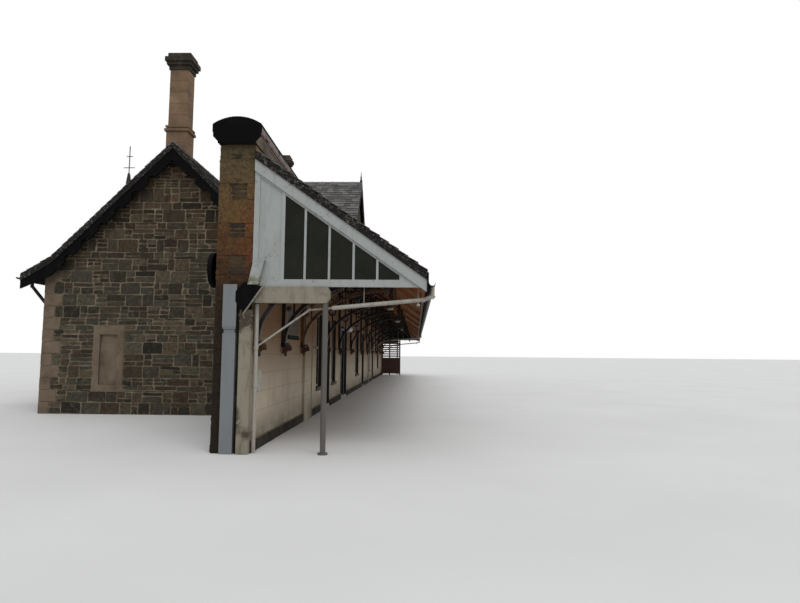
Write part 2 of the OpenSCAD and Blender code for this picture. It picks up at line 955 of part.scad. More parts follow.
module canopy_end_frames() {
  reach = (canopy_top_h - rafter_down - rail_high) / canopy_slope;
  color(white)
    placed()
      both_ends()
        across_y(-screen_out, screen_t - screen_out)
          difference() {
            polygon([[gap, rail_low], [reach, rail_low], [reach, rail_high - gap],
              [gap, canopy_h(gap, rafter_down + gap)]]);
            for (i = [0 : len(pane_edges) - 2])
              pane_outline(i, 0);
            board_outline(0);
          }
}

screen_glass_y = 4;
screen_glass_t = 6;
module canopy_end_glass() {
  color(pane)
    placed()
      both_ends()
        across_y(screen_glass_y, screen_glass_y + screen_glass_t)
          for (i = [0 : len(pane_edges) - 2])
            pane_outline(i, gap);
}

end_board_y = -5;
end_board_t = 25;
module canopy_end_boards() {
  color(white)
    placed()
      both_ends()
        across_y(end_board_y, end_board_y + end_board_t)
          board_outline(gap);
}

// Boxed beam under the screen, which the prop carries
beam_low = 2420;
beam_end = 1290;
beam_front = -60;
beam_back = 60;
beam_in = 32;
beam_nose = [[60, 0], [0, 90], [0, 200]];
beam_head = 40;
module end_beams() {
  color(white)
    placed()
      both_ends()
        across_y(beam_front, beam_back)
          polygon(concat([[beam_in, beam_low]], [for (n = beam_nose) [beam_end - n[0], beam_low + n[1]]],
            [[beam_end - beam_head, rail_low - gap], [beam_in, rail_low - gap]]));
}

prop_x = 1210;
prop_foot_h = 30;
prop_foot_out = 35;
module prop_posts() {
  color(grey_paint)
    placed()
      both_ends()
        translate([prop_x, 0, 0]) {
          cylinder(h = beam_low - gap, r = prop_r);
          cylinder(h = prop_foot_h, r = prop_r + prop_foot_out);
        }
}

post_low = -160;
post_high = 30;
post_h = 2300;
post_band_out = 15;
post_band = [110, 60];
post_front = 10 - end_out;
module corner_posts() {
  color(white)
    placed()
      both_ends() {
        block([post_low, post_front, 0], [post_high, -gap, post_h]);
        block([post_low - post_band_out, -end_out, post_h - post_band[0]],
          [post_high + post_band_out, -gap, post_h - post_band[1]]);
      }
}

casing_low = -435;
casing_high = -225;
casing_front = -95;
casing_step = 15;
casing_joint_h = 1920;
casing_h = 2710;
module pipe_casings() {
  color(grey_paint)
    placed()
      both_ends() {
        block([casing_low, casing_front, 0], [casing_high, -gap, casing_joint_h]);
        block([casing_low + casing_step, casing_front + casing_step, casing_joint_h],
          [casing_high - casing_step, -gap, casing_h]);
      }
}

hopper_back = -30;
hopper_low = casing_high - 13;
hopper_high = 130;
hopper_mouth = -110;
hopper_waist = 20;
hopper_lip = [10, 25, 60];
hopper_side = [2440, 2600];
module rain_hoppers() {
  color(black)
    placed()
      both_ends()
        across_y(post_front, hopper_back)
          polygon([[hopper_low, hopper_side[0]], [post_low, post_h + gap], [hopper_waist, post_h + gap],
            [hopper_waist, rail_low + hopper_lip[0]], [hopper_high, rail_low + hopper_lip[1]],
            [hopper_high, rail_low + hopper_lip[2]], [hopper_mouth, rail_low + hopper_lip[2]],
            [hopper_low, hopper_side[1]]]);
}

// White drain pipe from the gutter along the end to the wall, and down
drain_r = 40;
end_drain = 95;
middle_drain = 23.5;
// Bends of a drain: distance from the wall and height
drain_bends = [[canopy_out - 60, fascia_low - 95], [1310, beam_low - 70], [940, beam_low - 100],
  [plinth_out + drain_r + gap, 1700]];
module canopy_drains() {
  fall = concat([[gutter_x, 0, gutter_z - gutter_r - gap], [gutter_x, 0, fascia_low - 40]],
    [for (b = drain_bends) [b[0], 0, b[1]]], [[drain_bends[3][0], 0, 0]]);
  color(white)
    placed()
      for (y = [end_drain, along(middle_drain), wall_len - end_drain])
        translate([0, y, 0])
          pipe_route(fall, drain_r);
}

// Round lamp on the wall's west face
lamp_y = 330;
lamp_h = 3000;
lamp_r = 300;
lamp_t = 70;
lamp_out = 170;
lamp_neck_r = 60;
lamp_neck = 110;
module lamps() {
  color(black)
    placed()
      translate([-wall_t, lamp_y, lamp_h])
        rotate([0, -90, 0]) {
          translate([0, 0, lamp_out - lamp_t])
            cylinder(h = lamp_t, r = lamp_r);
          translate([0, 0, gap])
            cylinder(h = lamp_neck - gap, r = lamp_neck_r);
        }
}

// Windows: a frame in each hole, with a middle rail
frame_w = 60;
frame_x = -160;
frame_t = 60;
middle_rail_h = 1740;
module frame_outline(y0, y1, z0, z1, rail) {
  difference() {
    polygon([[y0, z0], [y1, z0], [y1, z1], [y0, z1]]);
    polygon([[y0 + frame_w, z0 + frame_w], [y1 - frame_w, z0 + frame_w],
      [y1 - frame_w, rail], [y0 + frame_w, rail]]);
    polygon([[y0 + frame_w, rail + frame_w], [y1 - frame_w, rail + frame_w],
      [y1 - frame_w, z1 - frame_w], [y0 + frame_w, z1 - frame_w]]);
  }
}

rear_rail_h = 1620;
rear_frame_in = 140;
bay_frame_in = 200;
bay_frame_x = bay_r * bay_flat - bay_frame_in;
module window_frames() {
  color(white)
    placed() {
      across_x(frame_x, frame_x + frame_t)
        for (w = windows)
          frame_outline(low(w) + gap, high(w) - gap, sill_h + gap, head_h - gap, middle_rail_h);
      across_x(-range_w + rear_frame_in, -range_w + rear_frame_in + frame_t)
        for (w = rear_windows)
          frame_outline(low(w) + gap, high(w) - gap, rear_sill_h + gap, rear_head_h - gap,
            rear_rail_h);
      for (a = bay_faces)
        translate([bay_x, bay_y, 0])
          rotate(a)
            across_x(bay_frame_x, bay_frame_x + frame_t)
              frame_outline(gap - bay_window_w / 2, bay_window_w / 2 - gap, bay_sill_h + gap,
                bay_head_h - gap, rear_rail_h);
    }
}

glass_t = 6;
module glass_panes(y0, y1, z0, z1, rail) {
  edge = frame_w + gap;
  polygon([[y0 + edge, z0 + edge], [y1 - edge, z0 + edge], [y1 - edge, rail - gap],
    [y0 + edge, rail - gap]]);
  polygon([[y0 + edge, rail + edge], [y1 - edge, rail + edge], [y1 - edge, z1 - edge],
    [y0 + edge, z1 - edge]]);
}

module window_glass() {
  inset = (frame_t - glass_t) / 2;
  color(pane)
    placed() {
      across_x(frame_x + inset, frame_x + inset + glass_t)
        for (w = windows)
          glass_panes(low(w) + gap, high(w) - gap, sill_h + gap, head_h - gap, middle_rail_h);
      across_x(-range_w + rear_frame_in + inset, -range_w + rear_frame_in + inset + glass_t)
        for (w = rear_windows)
          glass_panes(low(w) + gap, high(w) - gap, rear_sill_h + gap, rear_head_h - gap, rear_rail_h);
      for (a = bay_faces)
        translate([bay_x, bay_y, 0])
          rotate(a)
            across_x(bay_frame_x + inset, bay_frame_x + inset + glass_t)
              glass_panes(gap - bay_window_w / 2, bay_window_w / 2 - gap, bay_sill_h + gap,
                bay_head_h - gap, rear_rail_h);
    }
}

sill_over = 40;
sill_deep = 90;
sill_out = 45;
module window_sills() {
  color("firebrick")
    placed()
      for (w = windows)
        block([gap, low(w) - sill_over, sill_h - sill_deep], [sill_out, high(w) + sill_over, sill_h]);
}

// Dressed stone round a window, proud of the rubble
surround_w = 170;
surround_out = 22;
lintel_deep = 238;
module ring_outline(y0, y1, z0, z1) {
  difference() {
    polygon([[y0 - surround_w, z0 - surround_w], [y1 + surround_w, z0 - surround_w],
      [y1 + surround_w, z1 + lintel_deep], [y0 - surround_w, z1 + lintel_deep]]);
    polygon([[y0, z0], [y1, z0], [y1, z1], [y0, z1]]);
  }
}

module window_surrounds() {
  x0 = blocked_x - blocked_w / 2;
  x1 = blocked_x + blocked_w / 2;
  color(ashlar)
    placed() {
      across_x(-range_w - surround_out, -range_w - gap)
        for (w = rear_windows)
          ring_outline(low(w), high(w), rear_sill_h, rear_head_h);
      across_y(gable_y - surround_out, gable_y - gap)
        ring_outline(x0, x1, blocked_sill_h, blocked_head_h);
      across_y(north_gable_y + gap, north_gable_y + surround_out)
        ring_outline(x0, x1, blocked_sill_h, blocked_head_h);
    }
}

// Doors: a frame with a stop, and leaves that open into the building
jamb = 60;
jamb_x = -205;
jamb_t = 105;
leaf_t = 45;
stop_x = -153;
stop_w = 20;
leaf_gap = 8;
meeting_gap = 12;
leaf_low = floor_t + 10;
leaf_high = door_h - jamb - 10;
function leaf_low_y(d) = low(d) + gap + jamb + leaf_gap;
function leaf_high_y(d) = high(d) - gap - jamb - leaf_gap;

// Hinges: an eye on the leaf turns on a pin, which two lugs hold against the jamb
pin_r = 4;
pin_clear = 0.3;
eye_r = 9;
eye_half = 30;
lug_h = 15;
lug = 5;
lug_foot = 38;
lug_clear = 2;
strap_w = 26;
axis_in = 14;
hinge_inset = 260;
hinge_heights = [leaf_low + hinge_inset, (leaf_low + leaf_high) / 2, leaf_high - hinge_inset];

// Turns a hinge made for a leaf that runs towards +Y to the side it is hung on
module hung(y, side) {
  translate([jamb_x - axis_in, y, 0])
    mirror([0, side < 0 ? 1 : 0, 0])
      children();
}

module hinge_pins(y, side) {
  jamb_edge = -leaf_gap - lug_clear;
  for (h = hinge_heights)
    hung(y, side) {
      translate([0, 0, h - eye_half - lug_h])
        cylinder(h = 2 * (eye_half + lug_h), r = pin_r);
      for (z = [h - eye_half - lug_h, h + eye_half + gap]) {
        block([-lug, -lug_foot, z], [lug, lug, z + lug_h - gap]);
        block([-lug, -lug_foot, z], [axis_in + lug, jamb_edge, z + lug_h - gap]);
      }
    }
}

module hinge_eyes(y, side) {
  for (h = hinge_heights)
    hung(y, side)
      difference() {
        union() {
          translate([0, 0, h - eye_half])
            cylinder(h = 2 * eye_half, r = eye_r);
          block([0, 0, h - eye_half], [axis_in + 2, strap_w, h + eye_half]);
        }
        translate([0, 0, h - eye_half - 1])
          cylinder(h = 2 * eye_half + 2, r = pin_r + pin_clear);
      }
}

module door_frame(d) {
  y0 = low(d) + gap;
  y1 = high(d) - gap;
  z1 = door_h - gap;
  difference() {
    block([jamb_x, y0, floor_t + gap], [jamb_x + jamb_t, y1, z1]);
    block([jamb_x - 1, y0 + jamb, 0], [stop_x, y1 - jamb, z1 - jamb]);
    block([stop_x - 1, y0 + jamb + stop_w, 0], [0, y1 - jamb - stop_w, z1 - jamb - stop_w]);
  }
}

module door_frames() {
  color(white)
    placed() {
      for (d = doorways) {
        door_frame(d);
        hinge_pins(leaf_low_y(d), 1);
      }
      hinge_pins(leaf_high_y(hall), -1);
    }
}

module leaf(y0, y1, hinge_side) {
  block([jamb_x, y0, leaf_low], [jamb_x + leaf_t, y1, leaf_high]);
  hinge_eyes(hinge_side > 0 ? y0 : y1, hinge_side);
}

module waiting_room_door() {
  color("darkslategray")
    placed()
      leaf(leaf_low_y(waiting_room), leaf_high_y(waiting_room), 1);
}

module hall_door_south() {
  color("darkslategray")
    placed()
      leaf(leaf_low_y(hall), along(hall[0]) - meeting_gap / 2, 1);
}

module hall_door_north() {
  color("darkslategray")
    placed()
      leaf(along(hall[0]) + meeting_gap / 2, leaf_high_y(hall), -1);
}

module office_door() {
  color("darkslategray")
    placed()
      leaf(leaf_low_y(office), leaf_high_y(office), 1);
}

module store_door() {
  color("darkslategray")
    placed()
      leaf(leaf_low_y(store), leaf_high_y(store), 1);
}

// Boarded wind screen across the canopy's far end
screen_y = along(36.4);
stud = 90;
stud_h = 2700;
middle_stud_x = 620;
far_screen_x = 1490;
panel_y = [25, 60];
panel_z = [120, 1320];
slat_y = [30, 55];
slat_w = 100;
slat_pitch = 160;
first_slat_h = 1400;
slat_count = 8;
module wind_screen() {
  near_x = plinth_out + gap;
  color("saddlebrown")
    placed()
      translate([0, screen_y, 0]) {
        for (x = [near_x, middle_stud_x, far_screen_x - stud])
          block([x, 0, 0], [x + stud, stud, stud_h]);
        block([near_x, panel_y[0], panel_z[0]], [far_screen_x, panel_y[1], panel_z[1]]);
        for (i = [0 : slat_count - 1]) {
          z = first_slat_h + i * slat_pitch;
          block([near_x, slat_y[0], z], [far_screen_x, slat_y[1], z + slat_w]);
        }
      }
}

floor_slab();
platform_wall();
door_heads();
platform_plinth();
wall_string();
wall_pilaster();
wall_coping();
coping_moulding();
gable_walls();
rear_walls();
wing_gable_walls();
wing_side_walls();
bay_walls();
bay_roof();
roof_finials();
south_range_roof();
north_range_roof();
wing_roof();
ridge_caps();
gable_bargeboards();
chimney_stacks();
chimney_caps();
rear_gutters();
canopy_roof();
canopy_soffit();
canopy_rafters();
canopy_brackets();
canopy_fascia();
canopy_gutter();
canopy_bargeboards();
canopy_end_frames();
canopy_end_glass();
canopy_end_boards();
end_beams();
prop_posts();
corner_posts();
pipe_casings();
rain_hoppers();
canopy_drains();
lamps();
window_frames();
window_glass();
window_sills();
window_surrounds();
blocked_windows();
door_frames();
waiting_room_door();
hall_door_south();
hall_door_north();
office_door();
store_door();
wind_screen();
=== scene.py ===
"""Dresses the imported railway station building: slates, stones, joinery, finishes, light and camera."""

import json
import math
import random

import bpy
from mathutils import Matrix, Vector


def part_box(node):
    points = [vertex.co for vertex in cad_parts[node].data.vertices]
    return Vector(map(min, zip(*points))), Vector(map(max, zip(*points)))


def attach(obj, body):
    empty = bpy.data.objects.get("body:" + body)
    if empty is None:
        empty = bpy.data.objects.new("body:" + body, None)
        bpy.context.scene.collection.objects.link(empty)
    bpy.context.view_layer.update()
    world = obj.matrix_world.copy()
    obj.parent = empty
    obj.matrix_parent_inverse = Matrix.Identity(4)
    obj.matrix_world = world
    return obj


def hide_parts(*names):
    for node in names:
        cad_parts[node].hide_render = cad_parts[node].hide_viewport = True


bl_info = {
    "name": "Railway station building",
    "version": (1, 0, 0),
    "blender": (4, 5, 0),
    "location": "3D View > Sidebar > Station",
    "description": "Builds the looks of a stone station building with a lean-to canopy",
    "category": "Object",
}

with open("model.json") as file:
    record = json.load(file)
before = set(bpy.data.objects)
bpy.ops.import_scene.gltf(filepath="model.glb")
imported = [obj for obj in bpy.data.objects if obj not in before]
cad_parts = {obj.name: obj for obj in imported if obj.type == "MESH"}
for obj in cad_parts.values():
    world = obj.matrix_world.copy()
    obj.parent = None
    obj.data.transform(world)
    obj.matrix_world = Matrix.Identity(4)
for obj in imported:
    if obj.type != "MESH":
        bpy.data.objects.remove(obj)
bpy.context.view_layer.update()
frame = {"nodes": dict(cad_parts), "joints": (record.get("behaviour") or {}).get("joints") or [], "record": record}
BODY = "building"
FINISHES = {}
NODE_FINISH = {
    "ridge_caps": "ridge", "chimney_stacks": "chimney_blocks", "chimney_caps": "chimney_cap",
    "coping_moulding": "coping_moulding", "end_beams": "cream_timber", "corner_posts": "post_timber",
    "prop_posts": "prop_paint", "canopy_roof": "verge", "south_range_roof": "verge",
    "north_range_roof": "verge", "wing_roof": "verge", "bay_roof": "verge", "window_frames": "sash",
    "door_frames": "sash",
}

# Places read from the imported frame, in metres, most of them from the south end of the platform face
WALL_LOW, WALL_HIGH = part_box("platform_wall")
GABLE_LOW, GABLE_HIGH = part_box("gable_walls")
WING_LOW, WING_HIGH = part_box("wing_gable_walls")
WING_ROOF_LOW, WING_ROOF_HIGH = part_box("wing_roof")
RANGE_ROOF_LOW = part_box("south_range_roof")[0]
RANGE_ROOF_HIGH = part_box("north_range_roof")[1]
CANOPY_LOW, CANOPY_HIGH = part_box("canopy_roof")
BAY_ROOF_LOW, BAY_ROOF_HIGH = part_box("bay_roof")
FACE_X = WALL_HIGH.x
SOUTH_Y = WALL_LOW.y
WALL_LEN = WALL_HIGH.y - WALL_LOW.y
WALL_T = WALL_HIGH.x - WALL_LOW.x
WALL_H = WALL_HIGH.z
REAR_X = GABLE_LOW.x - FACE_X
GABLE_Y = GABLE_LOW.y - SOUTH_Y
NORTH_Y = GABLE_HIGH.y - SOUTH_Y
WING_Y = (WING_LOW.y + WING_HIGH.y) / 2 - SOUTH_Y
WING_HALF = (WING_HIGH.y - WING_LOW.y) / 2
WING_EAVE_HALF = (WING_ROOF_HIGH.y - WING_ROOF_LOW.y) / 2
WING_RIDGE = WING_ROOF_HIGH.z
RANGE_RIDGE = RANGE_ROOF_HIGH.z
RIDGE_X = (REAR_X - 0.6 * WALL_T) / 2
BREAK_X = REAR_X + 0.29
BREAK_Z = RANGE_RIDGE - (RIDGE_X - BREAK_X)
EAVE_X = RANGE_ROOF_LOW.x - FACE_X
EAVE_PITCH = math.radians(31)
EAVE_Z = BREAK_Z - (BREAK_X - EAVE_X) * math.tan(EAVE_PITCH)
ROOF_V = 0.17
CANOPY_OUT = CANOPY_HIGH.x - FACE_X
CANOPY_TOP = CANOPY_HIGH.z
CANOPY_EAVE = 2.95
CANOPY_DROP = CANOPY_TOP - CANOPY_EAVE
CANOPY_VERGE = SOUTH_Y - CANOPY_LOW.y
BAY_X = REAR_X - 0.22
BAY_Y = 10.3
BAY_R = 1.9
BAY_EAVE_R = 2.15
BAY_EAVE = BAY_ROOF_LOW.z
BAY_TOP = BAY_ROOF_HIGH.z
RUSTY_Y = SOUTH_Y + 4.27

EASTWARD, WESTWARD = (1, 0, 0), (-1, 0, 0)
NORTHWARD, SOUTHWARD = (0, 1, 0), (0, -1, 0)
UP = (0, 0, 1)
EIGHTH = math.pi / 8
ROOT2 = math.sqrt(2)
TURNS = {
    "X": Matrix.Rotation(math.pi / 2, 3, "Y"),
    "Y": Matrix.Rotation(-math.pi / 2, 3, "X"),
    "Z": Matrix.Identity(3),
}

# Sizes of dressed stone and of the bay's windows
BLOCK_LEN = 0.42
QUOIN_H, QUOIN_LONG, QUOIN_SHORT = 0.31, 0.46, 0.27
QUOINS_TOP = 3.72
DRAWN_IN = 0.004
BAY_WINDOW_HALF, BAY_SILL, BAY_HEAD = 0.38, 0.9, 2.6

# Scrolls in a bracket's spandrel: centre from the wall and from the ground, radius, start and turns
RING_X, RING_Z = 0.613, 3.50
RING_CORNERS = (0.785, 2.356, 3.927, 5.498)


def scrolls_round(reach, radius, turn, turns):
    """A scroll at each corner about the middle of a bracket's ring."""
    return [
        (RING_X + reach * math.cos(a), RING_Z + reach * math.sin(a), radius, a + turn, turns)
        for a in RING_CORNERS
    ]


SCROLLS = scrolls_round(0.405, 0.105, 0.0, 1.6) + scrolls_round(0.14, 0.075, 3.14, 1.4) + [
    (0.20, 4.30, 0.13, 1.57, 1.7), (1.02, 3.83, 0.09, 0.8, -1.5), (1.10, 3.17, 0.09, 3.9, 1.5),
    (1.70, 3.34, 0.09, 0.0, 1.5), (0.13, 2.50, 0.06, 1.57, -1.5),
]
# Leaf scrolls that carry the bracket's foot
FOOT_SCROLLS = [
    (0.105, 1.745, 0.052, 1.9, -1.3), (0.175, 1.690, 0.036, 2.2, 1.3), (0.060, 1.640, 0.034, 0.4, 1.3),
]


def at(x, y, z):
    """A place given from the south end of the wall's platform face, as a place in the frame."""
    return Vector((FACE_X + x, SOUTH_Y + y, z))


def here(place):
    """A place in the frame as (x, y, z) from the south end of the wall's platform face."""
    return (place.x - FACE_X, place.y - SOUTH_Y, place.z)


def oblong(a, b, c, d, *rest):
    """The corners of an oblong from a to b one way and from c to d the other."""
    return [(a, c, *rest), (b, c, *rest), (b, d, *rest), (a, d, *rest)]


def evenly(low, high, count):
    """A run from low to high cut into as many steps, as (start, end) pairs."""
    return [(low + (high - low) * i / count, low + (high - low) * (i + 1) / count) for i in range(count)]


def number(name, description, default, least, unit="LENGTH"):
    """A size or a strength that a user would change."""
    return bpy.props.FloatProperty(name=name, description=description, default=default, min=least, unit=unit)


def tint(name, description, default):
    """A colour that a user would change."""
    return bpy.props.FloatVectorProperty(
        name=name, description=description, default=default, size=3, subtype="COLOR",
    )


def add(tree, kind, inputs=None, **settings):
    """A node with its settings. Its inputs, by name or number, are linked or set."""
    node = tree.nodes.new(kind)
    for name, value in settings.items():
        setattr(node, name, value)
    for key, value in (inputs or {}).items():
        feed(tree, value, node.inputs[key])
    return node


def feed(tree, value, socket):
    """Links a socket to another, or sets its value."""
    if isinstance(value, bpy.types.NodeSocket):
        tree.links.new(value, socket)
    elif isinstance(value, tuple) and len(value) == 3 and len(socket.default_value) == 4:
        socket.default_value = (*value, 1.0)
    else:
        socket.default_value = value


# Finishes

def grey(light):
    return (light, light, light)


class Finish:
    """A procedural finish, built up on the object's own coordinates in metres."""

    def __init__(self, name, roughness, shine=None, metallic=0.0):
        self.material = bpy.data.materials.new(name)
        self.material.use_nodes = True
        self.tree = self.material.node_tree
        self.shader = self.tree.nodes["Principled BSDF"]
        self.put("Roughness", roughness)
        self.put("Metallic", metallic)
        if shine is not None:
            self.put("Specular IOR Level", shine)
        self.place = self.add("ShaderNodeTexCoord").outputs["Object"]

    def add(self, kind, inputs=None, **settings):
        return add(self.tree, kind, inputs, **settings)

    def put(self, label, value):
        feed(self.tree, value, self.shader.inputs[label])

    def noise(self, size, detail, roughness, stretch=None):
        place = self.place
        if stretch:
            place = self.add("ShaderNodeMapping", {"Vector": place, "Scale": stretch}).outputs["Vector"]
        inputs = {"Vector": place, "Scale": 1 / size, "Detail": detail, "Roughness": roughness}
        return self.add("ShaderNodeTexNoise", inputs).outputs["Fac"]

    def axis(self, name):
        return self.add("ShaderNodeSeparateXYZ", {"Vector": self.place}).outputs[name]

    def shade(self):
        """The tone that each stone, slate or board carries."""
        return self.add("ShaderNodeAttribute", attribute_name="shade").outputs["Fac"]

    def span(self, value, low, high, least=0.0, most=1.0):
        """Eases from least to most where the value goes from low to high."""
        inputs = {"Value": value, "From Min": low, "From Max": high, "To Min": least, "To Max": most}
        return self.add("ShaderNodeMapRange", inputs, interpolation_type="SMOOTHSTEP").outputs["Result"]

    def patches(self, size, detail, roughness, low, high, least=0.0, most=1.0, stretch=None):
        """Patches of noise whose edges lie between low and high."""
        return self.span(self.noise(size, detail, roughness, stretch), low, high, least, most)

    def band(self, value, low, low_in, high, high_in):
        """One between low_in and high_in, easing to nothing at low and at high."""
        return self.times(self.span(value, low, low_in), self.span(value, high, high_in))

    def math(self, operation, a, b):
        return self.add("ShaderNodeMath", {0: a, 1: b}, operation=operation).outputs[0]

    def times(self, a, b):
        return self.math("MULTIPLY", a, b)

    def plus(self, a, b):
        return self.math("ADD", a, b)

    def widest(self, first, *rest):
        """The greatest of some values."""
        for value in rest:
            first = self.math("MAXIMUM", first, value)
        return first

    def ramp(self, value, *stops):
        node = self.add("ShaderNodeValToRGB", {"Fac": value})
        points = node.color_ramp.elements
        while len(points) < len(stops):
            points.new(0.5)
        for point, (place, colour) in zip(points, stops):
            point.position = place
            point.color = (*colour, 1.0)
        return node.outputs["Color"]

    def mix(self, amount, a, b, kind="MIX"):
        node = self.add("ShaderNodeMix", {0: amount, 6: a, 7: b}, data_type="RGBA", blend_type=kind)
        return node.outputs[2]

    def tinted(self, colour, tone, amount=1.0):
        """A colour times another."""
        return self.mix(amount, colour, tone, "MULTIPLY")

    def done(self, colour, *bumps):
        """The material with its colour and its bumps, each a height, how deep it goes and how strongly."""
        self.put("Base Color", colour)
        normal = None
        for height, depth, strength in bumps:
            node = self.add("ShaderNodeBump", {"Height": height, "Distance": depth, "Strength": strength})
            if normal:
                self.tree.links.new(normal, node.inputs["Normal"])
            normal = node.outputs["Normal"]
        if normal:
            self.put("Normal", normal)
        return self.material


def pier_tone(f):
    """Colour of the wall's bare ends: olive-brown at the top, rusty in the middle, and black at the foot, where
    the black is a painted shadow of the fence.
    """
    clouds = f.noise(0.45, 7.0, 0.72)
    height = f.plus(f.axis("Z"), f.times(f.math("SUBTRACT", clouds, 0.5), 1.3))
    # The ramp's lowest stops, darkening to black below about 2.4 m, are a painted shadow of the fence.
    stone = f.ramp(
        f.span(height, 1.6, 5.1), (0.0, (0.018, 0.012, 0.007)), (0.22, (0.032, 0.018, 0.009)),
        (0.36, (0.060, 0.028, 0.012)), (0.54, (0.074, 0.034, 0.013)), (0.70, (0.088, 0.050, 0.019)),
        (0.86, (0.098, 0.060, 0.026)), (1.0, (0.070, 0.052, 0.028)),
    )
    side = f.span(f.axis("X"), FACE_X - 0.40, FACE_X - 0.02)
    rusty = f.times(f.times(side, f.span(height, 2.6, 3.3)), f.span(height, 4.6, 3.8))
    stone = f.mix(f.times(rusty, f.span(clouds, 0.38, 0.6, 0.1, 0.6)), stone, (0.115, 0.036, 0.013))
    stone = f.tinted(stone, f.ramp(f.noise(0.05, 8.0, 0.8), (0.34, grey(0.40)), (0.64, (1.55, 1.55, 1.5))))
    dark = f.patches(0.20, 8.0, 0.8, 0.53, 0.66, 0.0, 0.85, (1, 1, 0.8))
    return f.mix(dark, stone, (0.013, 0.011, 0.008))


def limewash(clean):
    """Old cream limewash, browned above by painted shade and reflected light of the canopy, and stained below,
    with painted shade in its reveals. The wall's ends and back are bare mortar.
    """
    f = Finish("limewash", 0.9)
    clouds = f.noise(0.9, 6.0, 0.65)
    tones = ((0.3, 0.62), (0.55, 0.84), (0.75, 1.0))
    base = f.ramp(clouds, *((stop, tuple(share * c for c in clean)) for stop, share in tones))
    east, along, height = (f.axis(name) for name in "XYZ")
    # Painted shade: upwards the wall turns warm brown, standing in for the canopy's shade and the brown light it
    # reflects.
    painted_canopy_shade = f.span(f.plus(height, f.times(clouds, 0.8)), 1.2, 2.6, 0.0, 0.94)
    base = f.mix(painted_canopy_shade, base, (0.160, 0.074, 0.021))
    base = f.mix(f.patches(0.35, 5.0, 0.7, 0.56, 0.72, 0.0, 0.22, (1, 1, 0.14)), base, (0.13, 0.085, 0.055))
    courses = f.span(f.math("PINGPONG", f.plus(height, f.times(clouds, 0.02)), 0.16), 0.0, 0.012)
    base = f.tinted(base, f.ramp(courses, (0.2, (0.80, 0.78, 0.76)), (1.0, grey(1.0))))
    patch = f.band(along, SOUTH_Y + 2.7, SOUTH_Y + 2.9, SOUTH_Y + 4.0, SOUTH_Y + 3.8)
    patch = f.times(patch, f.band(height, 1.98, 2.06, 2.62, 2.5))
    bare_stone = f.ramp(f.noise(0.12, 6.0, 0.7), (0.35, (0.045, 0.042, 0.030)), (0.65, (0.13, 0.125, 0.095)))
    base = f.mix(patch, base, bare_stone)
    foot = f.times(f.span(height, 0.75, 0.15), f.span(clouds, 0.35, 0.6, 0.2, 0.9))
    base = f.mix(foot, base, (0.15, 0.12, 0.085))
    rust = f.times(f.patches(0.07, 4.0, 0.6, 0.66, 0.72, stretch=(1, 1, 0.05)), f.span(height, 1.9, 1.4))
    base = f.mix(f.times(rust, 0.8), base, (0.13, 0.06, 0.03))
    # Painted shade: the recessed reveals of doors and windows below 2.7 m go nearly black.
    painted_reveal_shade = f.times(f.span(east, FACE_X - 0.002, FACE_X - 0.008), f.span(height, 2.72, 2.70))
    base = f.mix(painted_reveal_shade, base, (0.020, 0.016, 0.012))
    strip = f.band(along, SOUTH_Y + 5.36, SOUTH_Y + 5.43, SOUTH_Y + 5.60, SOUTH_Y + 5.52)
    stain = f.times(strip, f.patches(0.16, 6.0, 0.75, 0.36, 0.56, 0.15, 0.85, (1, 1, 0.3)))
    base = f.mix(stain, base, (0.085, 0.045, 0.022))
    bare = f.widest(
        f.span(east, FACE_X - 0.592, FACE_X - 0.598), f.span(along, SOUTH_Y + 0.006, SOUTH_Y + 0.002),
        f.span(along, -SOUTH_Y - 0.006, -SOUTH_Y - 0.002),
    )
    base = f.mix(bare, base, pier_tone(f))
    return f.done(base, (courses, 0.006, 0.6), (f.noise(0.05, 8.0, 0.7), 0.006, 0.7))


def mortar():
    """Pinkish-buff mortar, sandy and smeared over the edges of the stones."""
    f = Finish("mortar", 0.95)
    sand = f.ramp(
        f.noise(0.4, 6.0, 0.65),
        (0.3, (0.058, 0.046, 0.029)), (0.5, (0.130, 0.102, 0.066)), (0.7, (0.210, 0.170, 0.115)),
    )
    return f.done(sand, (f.noise(0.03, 8.0, 0.75), 0.008, 0.9))


def rubble(name, light):
    """Whin and sandstone rubble: every stone has a tone of its own."""
    f = Finish(name, 0.88, 0.25)
    stone = f.ramp(
        f.shade(), (0.0, (0.014, 0.012, 0.008)), (0.18, (0.033, 0.030, 0.020)), (0.40, (0.051, 0.049, 0.035)),
        (0.56, (0.026, 0.022, 0.015)), (0.70, (0.046, 0.031, 0.018)), (0.82, (0.070, 0.064, 0.045)),
        (0.93, (0.080, 0.058, 0.036)), (1.0, (0.024, 0.016, 0.010)),
    )
    stone = f.tinted(stone, f.ramp(f.noise(0.11, 8.0, 0.7), (0.3, grey(0.55)), (0.7, (1.5, 1.45, 1.4))))
    stone = f.tinted(stone, f.ramp(f.noise(0.04, 8.0, 0.8), (0.38, grey(0.5)), (0.60, (1.28, 1.28, 1.26))))
    washed = f.patches(0.9, 3.0, 0.6, 0.44, 0.60, 0.30, 1.0)
    smear = f.times(f.patches(0.15, 8.0, 0.85, 0.50, 0.64), washed)
    stone = f.mix(f.times(smear, 0.65), stone, (0.112, 0.092, 0.065))
    stone = f.mix(f.span(f.axis("Z"), 2.6, 5.8, 0.0, 0.8), stone, f.tinted(stone, (0.88, 0.70, 0.56)))
    stone = f.tinted(stone, grey(light))
    return f.done(stone, (f.noise(0.16, 9.0, 0.72), 0.03, 0.9), (f.noise(0.018, 4.0, 0.7), 0.004, 0.8))


